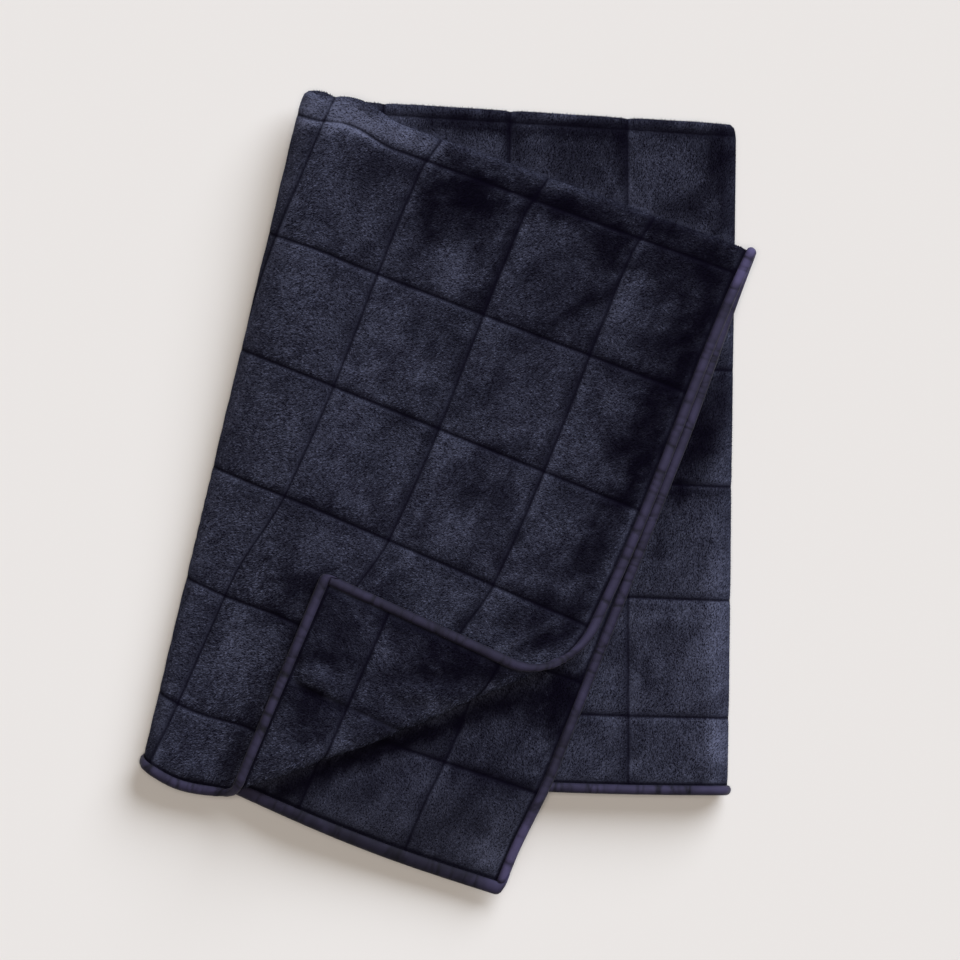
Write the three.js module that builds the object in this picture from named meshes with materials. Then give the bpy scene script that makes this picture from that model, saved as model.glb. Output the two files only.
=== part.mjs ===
// Pet blanket: a square-quilted plush sheet with bound edges. The sheet is doubled along a top fold,
// laid back and forth in three panels, and the front layer's free corner is turned back.
// Millimetres, +Z up. Origin: the middle of the footprint, on the surface that the blanket rests on.
//
// A point of the flat sheet has two coordinates. u runs across, from the side edge that shows to the
// inner side edge. v runs along, from zero on the top fold to the front end edge (positive) and to the
// back end edge (negative). The function place() folds a flat point into space.

import * as THREE from 'three';

// Flat sheet
const SHEET_WIDTH = 1152;
const FRONT_LENGTH = 615;
const BACK_LENGTH = 609;

// Quilting: seams across and along, and the thickness at a seam and at a square's crown
const COLUMN_FIRST = 92.8;
const COLUMN_PITCH = 99.4;
const COLUMN_COUNT = 11;
const FRONT_ROWS = [24.5, 133.5, 240.5, 347.5, 448, 550];
const BACK_ROWS = [13, 119, 225, 330.5, 433.5, 540];
const BACK_ROW_SKEW = 26;
const BACK_SKEW_REACH = 600;
const CROWN_THICKNESS = 7.8;
const SEAM_THICKNESS = 3.2;
const EDGE_THICKNESS = 1.6;
const CROWN_POWER = 6;
const FULL_CROWN_CELL = 70;
const PILLOW_SHOULDER = 0.11;

// Folds: the gap between layers, the side turns and the turned-back corner's roll
const LAYER_SPACING = 8.6;
const TURN_RADIUS = 9.8;
const TURN_PATH_RADIUS = 12;
const TURN_LENGTH = Math.PI * TURN_PATH_RADIUS;
const TOP_RADIUS = LAYER_SPACING / 2;
const TOP_REACH = TOP_RADIUS * Math.PI / 2;
const TOP_HALF_THICKNESS = 3;
const TOP_OVERHANG = TOP_RADIUS + TOP_HALF_THICKNESS;
const TURN_OVERHANG = TURN_RADIUS + (LAYER_SPACING + CROWN_THICKNESS) / 2;
const TURN_SQUEEZE = 0.7;
const CORNER_ROUNDING = { reach: 18, depth: 0.25 };
const REST_SINK = 1;

// Plan of the folded blanket, seen from above: where each fold and edge starts and ends
const LEFT_FOLD = { top: [-131, 353], foot: [-272, -234] };
const RIGHT_FOLD = { top: [255, 324], foot: [247, -266] };
const FRONT_EDGE = { top: [268.5, 211], foot: [-2, -366], bow: 14.5, bowFull: [0.5, 0.55], bowEnd: 0.71 };
const BACK_EDGE = { top: [269, 211], foot: [45, -353], bow: 5.5, bowFull: [0.3, 0.8], bowEnd: 0.95 };
const EDGE_BLEND = 12;
const RIGHT_TURN_U = { top: 770, foot: 761 };
const BACK_PANEL_SAG = 8;
const HIDDEN_PANEL_RISE = 0.02;
const FOOT_BULGE = { size: 14, centre: 30, reach: 72, fadePower: 4 };
const TOP_BUMP = { size: -8, centre: 55, reach: 40, fadeRate: 3 };
const PANEL_DIP = { size: 7.5, from: 0.06 };
const BACK_FOOT_BOW = { size: 6.2, centre: 120, reach: 170, fadePower: 6 };
const FRONT_STRETCH = { size: 5.2, edge: 60, fold: 70, top: 40 };

// Turned-back corner: the roll's outer line, its radius and how far the flap takes to lie down.
// Near the free edge the roll opens into a wide soft bend, set in from that line
const FLAP_LINE = { from: [-178, -262], to: [88, -164] };
const FLAP_RADIUS = 8;
const FLAP_SETTLE = 90;
const FLAP_OPENING = { reach: 110, inset: 28, radius: 28, halfRise: 11.5 };

// Settling: the left part sinks where no hidden panel is under it, the free front corner droops
const LEFT_SINK = { from: -116, reach: 110, depth: 2 * TURN_RADIUS };
const FRONT_DROOP = { reach: 100, depth: 24 };

// Binding: a strip folded round the edge, drawn as half its section, distance in from the edge by height
const BINDING_IN = 8.4;
const BINDING_OUTER = [[BINDING_IN, 3.7], [2, 3.7], [-1, 2]];
const BINDING_SLOT = [[BINDING_IN, 2.35], [1.2, 1.4]];
const BINDING_SHUT = [[BINDING_IN, 2.35], [BINDING_IN, 0.8]];
const BINDING_CLEARANCE = 0.3;
const BINDING_FLOOR = 0.2;
const CLOTH_INSET = BINDING_SLOT[1][0] + 3 * BINDING_CLEARANCE;
const STITCH_IN = BINDING_IN + 2 * BINDING_CLEARANCE;

// Mesh: how far a chord may stray from the folded sheet, and how far the sheet may turn along it
const CHORD_ERROR = 2.6;
const CHORD_TURN = THREE.MathUtils.degToRad(68);
const EDGE_CARE = 3;
const SPLIT_ROUNDS = 5;
const NORMAL_STEP = 0.4;

const PLUSH = { color: 0x262b3b, roughness: 0.95, metalness: 0 };
const BINDING = { color: 0x38324f, roughness: 0.8, metalness: 0 };

const clamp01 = (x) => Math.min(1, Math.max(0, x));
const smooth = (x) => clamp01(x) ** 2 * (3 - 2 * clamp01(x));
const hump = (bump, at) => Math.max(1 - ((at - bump.centre) / bump.reach) ** 2, 0) ** 2;
const plan = (pair) => new THREE.Vector2(...pair);
const between = (a, b, t) => a.clone().lerp(b, t);

// A fold's axis lies inside its outline by the overhang, and below the top fold's outline
function foldAxis(fold, inwardSign) {
  const top = plan(fold.top);
  const foot = plan(fold.foot);
  const down = foot.clone().sub(top).normalize();
  const inward = new THREE.Vector2(-down.y, down.x).multiplyScalar(inwardSign);
  const shift = inward.clone().multiplyScalar(TURN_OVERHANG);
  top.add(shift).addScaledVector(down, TOP_OVERHANG);
  foot.add(shift);
  return { top, foot, down, inward };
}

// A free edge runs from the top fold's axis to the sheet's corner. Part of it is bowed to one side
function freeEdge(edge) {
  const top = plan(edge.top);
  const foot = plan(edge.foot);
  const down = foot.clone().sub(top).normalize();
  top.addScaledVector(down, TOP_OVERHANG);
  return { ...edge, top, foot, aside: new THREE.Vector2(-down.y, down.x) };
}

const leftAxis = foldAxis(LEFT_FOLD, 1);
const rightAxis = foldAxis(RIGHT_FOLD, -1);
const frontEdge = freeEdge(FRONT_EDGE);
const backEdge = freeEdge(BACK_EDGE);

const flapFrom = plan(FLAP_LINE.from);
const flapAlong = plan(FLAP_LINE.to).sub(flapFrom).normalize();
const flapOut = new THREE.Vector2(flapAlong.y, -flapAlong.x);
const flapAxis = flapFrom.clone().addScaledVector(flapOut, -(FLAP_RADIUS + SEAM_THICKNESS));

function edgePoint(edge, share) {
  const [fullFrom, fullTo] = edge.bowFull;
  const fading = smooth((share - fullTo) / (edge.bowEnd - fullTo));
  const bulge = edge.bow * smooth(share / fullFrom) * (1 - fading);
  return between(edge.top, edge.foot, share).addScaledVector(edge.aside, bulge);
}

// Rows of the back layer run a little askew: row is the seam's own coordinate, the result is v
function rowToLength(u, row) {
  const lastSeam = -BACK_ROWS.at(-1);
  if (row >= 0) {
    return row;
  }
  const past = (row - lastSeam) / (-BACK_LENGTH - lastSeam);
  const share = row > lastSeam ? smooth(row / lastSeam) : 1 - clamp01(past);
  return row + BACK_ROW_SKEW * share * (1 - smooth(u / BACK_SKEW_REACH));
}

// The doubled sheet seen along a row: how far below the top fold's axis, and how far off the mid plane
function topFold(v) {
  const turn = Math.min(Math.abs(v), TOP_REACH) / TOP_RADIUS * Math.sign(v);
  const flat = Math.abs(v) - TOP_REACH;
  return {
    down: flat > 0 ? flat : -TOP_RADIUS * Math.cos(turn),
    lift: TOP_RADIUS * Math.sin(turn),
  };
}

// The front layer's corner rolls up and lies back on the layer that it belongs to
function turnCornerBack(spot, u) {
  const open = smooth(1 - u / FLAP_OPENING.reach);
  const inset = FLAP_OPENING.inset * open;
  const radius = THREE.MathUtils.lerp(FLAP_RADIUS, FLAP_OPENING.radius, open);
  const halfRise = THREE.MathUtils.lerp(FLAP_RADIUS, FLAP_OPENING.halfRise, open);
  const clothLength = Math.PI * FLAP_RADIUS + 2 * inset;
  const past = flapOut.dot(spot.plan.clone().sub(flapAxis)) + inset;
  if (past <= 0) {
    return;
  }
  const turn = Math.PI * Math.min(past / clothLength, 1);
  const lying = Math.max(past - clothLength, 0);
  const reach = radius * Math.sin(turn) - lying;
  spot.plan.addScaledVector(flapOut, reach - past);
  const spare = 2 * halfRise - LAYER_SPACING;
  spot.z += halfRise * (1 - Math.cos(turn)) - spare * smooth(lying / FLAP_SETTLE);
}

// How far down the page the back panel reaches at a place across
function backPanelFoot(x) {
  const share = (x - leftAxis.foot.x) / (rightAxis.foot.x - leftAxis.foot.x);
  return between(leftAxis.foot, rightAxis.foot, clamp01(share)).y;
}

// Where a row lies in plan: its start at the free edge, its turns' axes, and where on the row they begin
function rowPlan(u, row) {
  const v = rowToLength(u, row);
  const { down, lift } = topFold(v);
  const share = down / ((v > 0 ? FRONT_LENGTH : BACK_LENGTH) - TOP_REACH);
  const toBack = smooth(0.5 - v / (2 * EDGE_BLEND));
  const start = between(edgePoint(frontEdge, share), edgePoint(backEdge, share), toBack);
  const left = between(leftAxis.top, leftAxis.foot, share);
  const right = between(rightAxis.top, rightAxis.foot, share);
  const leftU = left.distanceTo(start);
  const rightU = THREE.MathUtils.lerp(RIGHT_TURN_U.top, RIGHT_TURN_U.foot, share);
  return { v, down, lift, share, start, left, right, leftU, rightU };
}

// How far the front layer's cloth is drawn away from its free edge, fading to the folds
function frontStretch(u, v, leftU) {
  const { size, edge, fold, top } = FRONT_STRETCH;
  return size * smooth(v / top) * smooth(u / edge) * smooth((leftU - u) / fold);
}

// Folds one flat point, given across and along its row, into space
function place(u, row) {
  const { v, down, lift, share, start, left, right, leftU, rightU } = rowPlan(u, row);
  const rowAlong = left.clone().sub(start).normalize();
  const drift = -leftAxis.down.dot(rowAlong);
  const leftHeight = LAYER_SPACING / 2 + CROWN_THICKNESS / 2 - REST_SINK + 3 * TURN_RADIUS;
  const spot = { plan: start, z: leftHeight };
  const cornerShare = 1 - clamp01((down + TOP_OVERHANG) / CORNER_ROUNDING.reach);
  const cornerRound = 1 - CORNER_ROUNDING.depth * cornerShare ** 2;
  const fromFold = leftU + TURN_LENGTH / 2 - u;
  const nearTop = (1 - clamp01(TOP_BUMP.fadeRate * share)) ** 2;
  const nearFoot = v > 0 ? clamp01(share) ** FOOT_BULGE.fadePower : 0;
  const topBump = TOP_BUMP.size * hump(TOP_BUMP, fromFold) * nearTop;
  const footBulge = FOOT_BULGE.size * hump(FOOT_BULGE, fromFold) * nearFoot;
  const nearBackFoot = v > 0 ? 0 : clamp01(share) ** BACK_FOOT_BOW.fadePower;
  const footBow = BACK_FOOT_BOW.size * hump(BACK_FOOT_BOW, u) * nearBackFoot;

  if (u < leftU) {
    spot.plan.addScaledVector(rowAlong, u + frontStretch(u, v, leftU));
    spot.plan.addScaledVector(leftAxis.down, topBump + footBow);
    spot.z += TURN_RADIUS + lift;
    if (v > 0) {
      spot.plan.addScaledVector(leftAxis.down, footBulge);
      turnCornerBack(spot, u);
    }
    const overhang = backPanelFoot(spot.plan.x) - spot.plan.y;
    spot.z -= FRONT_DROOP.depth * smooth(overhang / FRONT_DROOP.reach);
  } else if (u < leftU + TURN_LENGTH) {
    const angle = Math.PI * (u - leftU) / TURN_LENGTH;
    const radius = TURN_RADIUS + lift;
    spot.plan.copy(left).addScaledVector(leftAxis.inward, -radius * cornerRound * Math.sin(angle));
    spot.plan.addScaledVector(leftAxis.down, footBulge - drift * (u - leftU));
    spot.z += radius * Math.cos(angle);
  } else if (u < rightU) {
    const from = left.clone().addScaledVector(leftAxis.down, -drift * TURN_LENGTH);
    const cloth = rightU - leftU - TURN_LENGTH;
    const rest = (rightU - u) / cloth;
    const slack = cloth / right.distanceTo(from);
    const reach = 1 - rest * (slack + (1 - slack) * rest ** 2);
    spot.plan.copy(between(from, right, reach));
    spot.plan.y -= BACK_PANEL_SAG * 4 * reach * (1 - reach) * clamp01(share) ** 2;
    spot.plan.y -= PANEL_DIP.size * (1 - reach) * smooth(reach / PANEL_DIP.from) * nearTop;
    spot.plan.addScaledVector(leftAxis.down, footBulge);
    spot.z -= TURN_RADIUS + lift;
  } else if (u < rightU + TURN_LENGTH) {
    const angle = Math.PI * (u - rightU) / TURN_LENGTH;
    const radius = TURN_RADIUS - lift;
    spot.plan.copy(right).addScaledVector(rightAxis.inward, -radius * cornerRound * Math.sin(angle));
    spot.z += radius * Math.cos(angle) - 2 * TURN_RADIUS;
  } else {
    const reach = u - rightU - TURN_LENGTH;
    spot.plan.set(right.x - reach, right.y + HIDDEN_PANEL_RISE * reach);
    spot.z -= 3 * TURN_RADIUS - lift;
  }
  if (u < rightU) {
    spot.z -= LEFT_SINK.depth * smooth((LEFT_SINK.from - spot.plan.x) / LEFT_SINK.reach);
  }
  return new THREE.Vector3(spot.plan.x, spot.plan.y, spot.z);
}

function sheetNormal(u, row) {
  const across = place(u + NORMAL_STEP, row).sub(place(u - NORMAL_STEP, row));
  const along = place(u, row + NORMAL_STEP).sub(place(u, row - NORMAL_STEP));
  return across.cross(along).normalize();
}

// A point at a height off the folded sheet's mid surface, kept above the resting surface
function offSheet(u, row, height, floor) {
  const point = place(u, row).addScaledVector(sheetNormal(u, row), height);
  point.z = Math.max(point.z, floor);
  return point;
}

const columnSeams = Array.from({ length: COLUMN_COUNT }, (_, i) => COLUMN_FIRST + i * COLUMN_PITCH);
const columnLines = [STITCH_IN, ...columnSeams, SHEET_WIDTH - STITCH_IN];
const rowLines = [
  STITCH_IN - BACK_LENGTH,
  ...BACK_ROWS.map((row) => -row).reverse(),
  ...FRONT_ROWS,
  FRONT_LENGTH - STITCH_IN,
];

// How full a square is between two seams: nothing on the seams, one over most of the square
function fullness(lines, at) {
  const next = lines.findIndex((line) => line > at);
  if (next < 1) {
    return 0;
  }
  const size = lines[next] - lines[next - 1];
  const across = 2 * (at - lines[next - 1]) / size - 1;
  return Math.min(1, size / FULL_CROWN_CELL) * (1 - Math.abs(across) ** CROWN_POWER);
}

// The cloth is squeezed thinner where it goes round a side turn
function squeeze(u, row) {
  const { leftU, rightU } = rowPlan(u, row);
  const off = Math.min(Math.abs(u - leftU - TURN_LENGTH / 2), Math.abs(u - rightU - TURN_LENGTH / 2));
  return 1 - TURN_SQUEEZE * (1 - smooth(off / TURN_LENGTH));
}

function halfThickness([u, row, onEdge]) {
  if (onEdge) {
    return EDGE_THICKNESS / 2;
  }
  const crown = fullness(columnLines, u) * fullness(rowLines, row) * squeeze(u, row);
  return (SEAM_THICKNESS + (CROWN_THICKNESS - SEAM_THICKNESS) * crown) / 2;
}

// Grid lines: each seam and the two shoulders of each square, and extra ones round the top fold
function gridLines(lines, extra) {
  const grid = [...lines, ...extra];
  for (let i = 1; i < lines.length; i += 1) {
    const size = lines[i] - lines[i - 1];
    if (!extra.some((line) => line > lines[i - 1] && line < lines[i])) {
      grid.push(lines[i - 1] + PILLOW_SHOULDER * size, lines[i] - PILLOW_SHOULDER * size);
    }
  }
  return grid.sort((a, b) => a - b);
}

// How much the sheet bends along a chord, where more than one is too much
function chordBend(from, to) {
  const strays = [0.25, 0.5, 0.75].map((t) => {
    const flat = [from[0] + t * (to[0] - from[0]), from[1] + t * (to[1] - from[1])];
    return place(...from).lerp(place(...to), t).distanceTo(place(...flat));
  });
  const turn = sheetNormal(...from).angleTo(sheetNormal(...to));
  return Math.max(Math.max(...strays) / CHORD_ERROR, turn / CHORD_TURN);
}

const onStitchLine = ([u, row]) => (
  u === columnLines[0] || u === columnLines.at(-1) || row === rowLines[0] || row === rowLines.at(-1)
);

// A stitch line's point moved out to the cloth's edge inside the binding
function edgeOf([u, row]) {
  const out = STITCH_IN - CLOTH_INSET;
  const acrossOut = out * ((u === columnLines.at(-1)) - (u === columnLines[0]));
  const alongOut = out * ((row === rowLines.at(-1)) - (row === rowLines[0]));
  return [u + acrossOut, row + alongOut, true];
}

// Along a stitch line the cloth's edge is judged as well, with more care, because the binding follows it
function bend(from, to) {
  if (onStitchLine(from) && onStitchLine(to)) {
    return EDGE_CARE * Math.max(chordBend(from, to), chordBend(edgeOf(from), edgeOf(to)));
  }
  return chordBend(from, to);
}

// Splits the edges of a flat triangle net wherever the folded sheet bends away from the chord
function splitBentEdges(points, triangles) {
  const middles = new Map();
  const middleOf = (a, b) => {
    const key = a < b ? `${a},${b}` : `${b},${a}`;
    if (!middles.has(key)) {
      const flat = [(points[a][0] + points[b][0]) / 2, (points[a][1] + points[b][1]) / 2];
      middles.set(key, bend(points[a], points[b]) > 1 ? points.push(flat) - 1 : -1);
    }
    return middles.get(key);
  };
  return triangles.flatMap((corners) => {
    const mid = corners.map((corner, i) => middleOf(corner, corners[(i + 1) % 3]));
    const count = mid.filter((index) => index >= 0).length;
    const firstSplit = Math.max(mid.findIndex((index) => index >= 0), 0);
    const first = count === 2 ? (mid.indexOf(-1) + 1) % 3 : firstSplit;
    const [a, b, c] = [0, 1, 2].map((i) => corners[(first + i) % 3]);
    const [ab, bc, ca] = [0, 1, 2].map((i) => mid[(first + i) % 3]);
    if (count === 0) {
      return [corners];
    }
    if (count === 1) {
      return [[a, ab, c], [ab, b, c]];
    }
    if (count === 2) {
      return [[ab, b, bc], [a, ab, bc], [a, bc, c]];
    }
    return [[a, ab, ca], [ab, b, bc], [ca, bc, c], [ab, bc, ca]];
  });
}

function solid(points, triangles) {
  const geometry = new THREE.BufferGeometry();
  const positions = points.flatMap((point) => point.toArray());
  geometry.setAttribute('position', new THREE.Float32BufferAttribute(positions, 3));
  geometry.setIndex(triangles.flat());
  return geometry;
}

// The flat sheet inside the stitch lines as a triangle net, with closer steps where it will be folded
function flatNet() {
  const topLines = [-1, -1 / 3, 1 / 3, 1].map((share) => share * TOP_REACH);
  const across = gridLines(columnLines, []);
  const along = gridLines(rowLines, topLines);
  const points = across.flatMap((u) => along.map((row) => [u, row]));
  let triangles = [];
  for (let i = 0; i < across.length - 1; i += 1) {
    for (let j = 0; j < along.length - 1; j += 1) {
      const a = i * along.length + j;
      const b = a + along.length;
      if (bend(points[a], points[b + 1]) < bend(points[b], points[a + 1])) {
        triangles.push([a, b, b + 1], [a, b + 1, a + 1]);
      } else {
        triangles.push([a, b, a + 1], [b, b + 1, a + 1]);
      }
    }
  }
  for (let round = 0; round < SPLIT_ROUNDS; round += 1) {
    triangles = splitBentEdges(points, triangles);
  }
  return { points, triangles };
}

// Edges that only one triangle uses, each in that triangle's direction
function openEdges(triangles) {
  const edges = new Set(triangles.flatMap(([a, b, c]) => [`${a},${b}`, `${b},${c}`, `${c},${a}`]));
  const pairs = [...edges].map((edge) => edge.split(',').map(Number));
  return pairs.filter(([a, b]) => !edges.has(`${b},${a}`));
}

// The quilt: a flat net with an edge band, two folded faces and a rim that closes them
function quilt(net) {
  const points = [...net.points];
  const triangles = [...net.triangles];
  const band = new Map();
  const outer = (index) => {
    if (!band.has(index)) {
      band.set(index, points.push(edgeOf(points[index])) - 1);
    }
    return band.get(index);
  };
  for (const [a, b] of openEdges(net.triangles)) {
    triangles.push([b, a, outer(a)], [b, outer(a), outer(b)]);
  }
  const count = points.length;
  const face = (side) => points.map((flat) => offSheet(flat[0], flat[1], side * halfThickness(flat), 0));
  const faces = triangles.flatMap(([a, b, c]) => [[a, b, c], [a + count, c + count, b + count]]);
  for (const [a, b] of openEdges(triangles)) {
    faces.push([b, a, a + count], [b, a + count, b + count]);
  }
  return solid([...face(1), ...face(-1)], faces);
}

// The net's own steps along one stitch line, which the binding there follows
function steps(net, axis, line) {
  const onLine = net.points.filter((flat) => flat[1 - axis] === line).map((flat) => flat[axis]);
  return onLine.sort((a, b) => a - b);
}

const mirrored = (half) => [...half, ...half.map(([inset, height]) => [inset, -height]).reverse()];

// A binding strip swept along an edge. Closed ends fill the fold of the strip at the sheet's corners
function bindingStrip(spans, pointAt, flipped, closedEnds) {
  const outer = mirrored(BINDING_OUTER);
  const open = [...outer, ...mirrored(BINDING_SLOT).reverse()];
  const closed = [...outer, ...mirrored(BINDING_SHUT).reverse()];
  const sections = spans.map((at, i) => {
    const nearEnd = Math.min(i, spans.length - 1 - i) < 2;
    return (closedEnds && nearEnd ? closed : open).map(([inset, height]) => pointAt(at, inset, height));
  });
  const size = open.length;
  const triangles = [];
  for (let i = 0; i < sections.length - 1; i += 1) {
    for (let j = 0; j < size; j += 1) {
      const a = i * size + j;
      const b = i * size + (j + 1) % size;
      triangles.push([a, b, b + size], [a, b + size, a + size]);
    }
  }
  const contour = open.map(([inset, height]) => new THREE.Vector2(inset, height));
  const fan = closed.slice(2).map((_, i) => [2, (i + 3) % size, (i + 4) % size]);
  const cap = closedEnds ? fan : THREE.ShapeUtils.triangulateShape(contour, []);
  const last = (sections.length - 1) * size;
  for (const [a, b, c] of cap) {
    triangles.push([a, c, b], [a + last, b + last, c + last]);
  }
  const faces = flipped ? triangles.map(([a, b, c]) => [a, c, b]) : triangles;
  return solid(sections.flat(), faces);
}

// Side strips run between the end strips
function sideBinding(net, inner) {
  const butt = BINDING_CLEARANCE + BINDING_IN - STITCH_IN;
  const across = (inset) => (inner ? SHEET_WIDTH - inset : inset);
  const pointAt = (row, inset, height) => offSheet(across(inset), row, height, BINDING_FLOOR);
  const rows = steps(net, 1, inner ? columnLines.at(-1) : columnLines[0]);
  rows[0] += butt;
  rows[rows.length - 1] -= butt;
  return bindingStrip(rows, pointAt, !inner, false);
}

// End strips run the whole width, over both corners
function endBinding(net, back) {
  const along = (inset) => (back ? inset - BACK_LENGTH : FRONT_LENGTH - inset);
  const pointAt = (u, inset, height) => offSheet(u, along(inset), height, BINDING_FLOOR);
  const slotEnd = BINDING_SLOT[1][0];
  const corner = [BINDING_OUTER.at(-1)[0], slotEnd - BINDING_CLEARANCE, slotEnd];
  const farCorner = corner.map((inset) => SHEET_WIDTH - inset).reverse();
  const inner = steps(net, 0, back ? rowLines[0] : rowLines.at(-1));
  return bindingStrip([...corner, ...inner, ...farCorner], pointAt, !back, true);
}

const blanket = new THREE.Group();

function addPiece(name, geometry, finish) {
  const mesh = new THREE.Mesh(geometry, new THREE.MeshStandardMaterial(finish));
  mesh.name = name;
  blanket.add(mesh);
}

const net = flatNet();
addPiece('quilted_blanket', quilt(net), PLUSH);
addPiece('binding_side_front', sideBinding(net, false), BINDING);
addPiece('binding_side_inner', sideBinding(net, true), BINDING);
addPiece('binding_end_front', endBinding(net, false), BINDING);
addPiece('binding_end_back', endBinding(net, true), BINDING);

// The footprint's middle goes to the origin
const footprint = new THREE.Box3().setFromObject(blanket).getCenter(new THREE.Vector3());
blanket.position.set(-footprint.x, -footprint.y, 0);
blanket.updateMatrixWorld(true);

export default blanket;
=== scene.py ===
"""Folded quilted pet blanket: plush quilt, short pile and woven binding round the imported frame.

A point of the flat sheet has two coordinates in millimetres. u runs across, from the side edge that
shows to the inner side edge. row runs along, positive on the front layer and negative on the back
layer, with zero on the top fold. FoldedSheet.place() folds flat points into space.
"""

import logging
import math
from dataclasses import dataclass
from enum import IntEnum

import bpy
import numpy as np
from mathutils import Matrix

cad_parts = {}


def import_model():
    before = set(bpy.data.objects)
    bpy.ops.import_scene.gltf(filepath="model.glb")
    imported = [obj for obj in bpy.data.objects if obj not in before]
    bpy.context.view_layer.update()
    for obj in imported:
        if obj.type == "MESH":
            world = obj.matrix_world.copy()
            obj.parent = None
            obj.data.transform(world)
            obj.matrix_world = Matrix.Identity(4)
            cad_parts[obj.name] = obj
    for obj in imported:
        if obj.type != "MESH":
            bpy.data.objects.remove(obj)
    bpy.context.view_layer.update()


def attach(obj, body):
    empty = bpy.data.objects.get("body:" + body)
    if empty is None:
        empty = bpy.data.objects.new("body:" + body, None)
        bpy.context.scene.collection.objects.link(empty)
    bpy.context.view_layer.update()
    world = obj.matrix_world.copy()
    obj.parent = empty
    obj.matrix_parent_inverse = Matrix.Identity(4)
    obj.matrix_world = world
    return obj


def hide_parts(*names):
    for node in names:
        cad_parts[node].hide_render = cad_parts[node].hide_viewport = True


Array = np.ndarray
Pair = tuple[float, float]
Colour = tuple[float, float, float]
Noise = tuple[float, float, int]

MM = 0.001
BAKE_MAP = "OFBake"
TAPE_MAP = "Tape"
# a Mix node's colour sockets by number
MIX_FROM, MIX_TO, MIX_RESULT = 6, 7, 2
# radians that a Wave node's pattern turns through in one unit at scale one
WAVE_TURN = 20.0
# cosine and sine of a sixth of a turn
SIXTH_TURN = (0.5, 0.87)
# values along each side of the noise lattice, and the noises that make a patch's border ragged
LATTICE = 128
RAGGED_BORDER = ((0.4, 9.0, 17), (0.35, 3.6, 18))
log = logging.getLogger("blanket")


def smooth(x: Array) -> Array:
    """Cubic step from 0 to 1, flat outside 0..1."""
    t = np.clip(x, 0.0, 1.0)
    return t * t * (3.0 - 2.0 * t)


def lerp(a: Array, b: Array, t: Array) -> Array:
    """Straight blend from a to b by t."""
    return a + (b - a) * t


def unit(vectors: Array) -> Array:
    """Vectors along the last axis, scaled to length one."""
    length = np.linalg.norm(vectors, axis=-1, keepdims=True)
    return vectors / np.maximum(length, 1e-9)


def value_noise(x: Array, y: Array, size: float, seed: int) -> Array:
    """Smooth noise from -1 to 1: random values on a square lattice, blended by cubic steps.

    Args:
        x: places across, in millimetres.
        y: places along, in millimetres.
        size: lattice pitch in millimetres.
        seed: seed of the lattice values.

    Returns:
        One noise value for each place.
    """
    lattice = np.random.default_rng(seed).uniform(-1.0, 1.0, (LATTICE, LATTICE))
    at_x, at_y = x / size, y / size
    i, j = np.floor(at_x).astype(int), np.floor(at_y).astype(int)
    s, t = smooth(at_x - i), smooth(at_y - j)
    i0, i1, j0, j1 = (number % LATTICE for number in (i, i + 1, j, j + 1))
    low = lerp(lattice[i0, j0], lattice[i1, j0], s)
    high = lerp(lattice[i0, j1], lattice[i1, j1], s)
    return lerp(low, high, t)


def noise_sum(x: Array, y: Array, parts: tuple[Noise, ...], shift: int = 0) -> Array:
    """Sum of noises at the same places. A part gives its share, its pitch and its seed, which is shifted."""
    return sum(share * value_noise(x, y, size, seed + shift) for share, size, seed in parts)


def mesh_piece(name: str, points: Array, faces: Array, is_smooth: bool = True) -> bpy.types.Object:
    """A mesh object at the origin from arrays.

    Args:
        name: the piece's name.
        points: vertex places in millimetres, one row each.
        faces: vertex numbers, one row for each face, all faces with as many corners.
        is_smooth: whether the faces are shaded smooth.

    Returns:
        The new object, linked to the scene.
    """
    mesh = bpy.data.meshes.new(name)
    mesh.vertices.add(len(points))
    mesh.vertices.foreach_set("co", (points * MM).astype(np.float32).ravel())
    count, corners = faces.shape
    mesh.loops.add(count * corners)
    mesh.loops.foreach_set("vertex_index", faces.astype(np.int32).ravel())
    mesh.polygons.add(count)
    mesh.polygons.foreach_set("loop_start", np.arange(0, count * corners, corners, dtype=np.int32))
    mesh.polygons.foreach_set("use_smooth", np.full(count, is_smooth))
    mesh.update(calc_edges=True)
    mesh.validate()
    piece = bpy.data.objects.new(name, mesh)
    bpy.context.scene.collection.objects.link(piece)
    return piece


def add_attribute(piece: bpy.types.Object, name: str, values: Array) -> None:
    """Stores one number for each vertex under a name that materials read."""
    attribute = piece.data.attributes.new(name, "FLOAT", "POINT")
    attribute.data.foreach_set("value", values.astype(np.float32).ravel())


def add_map(piece: bpy.types.Object, name: str, corners: Array) -> None:
    """Stores a UV map, one pair for each face corner."""
    layer = piece.data.uv_layers.new(name=name)
    layer.uv.foreach_set("vector", corners.astype(np.float32).ravel())


def new_material(name: str) -> tuple[bpy.types.Material, bpy.types.Node]:
    """A new material, and its shader.

    Args:
        name: the material's name.

    Returns:
        The material and its shader node.
    """
    made = bpy.data.materials.new(name)
    made.use_nodes = True
    return made, made.node_tree.nodes["Principled BSDF"]


def set_inputs(node: bpy.types.Node, **values: float | tuple[float, ...]) -> None:
    """Sets input sockets, each by its name with underscores for spaces."""
    for name, value in values.items():
        node.inputs[name.replace("_", " ")].default_value = value


class Zone(IntEnum):
    """Parts of the folded sheet that have creases, or patches of tone from the brushing and of painted light,
    of their own.
    """

    FRONT = 0
    FLAP = 1
    UNDER = 2
    PANEL = 3
    OTHER = 4


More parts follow.
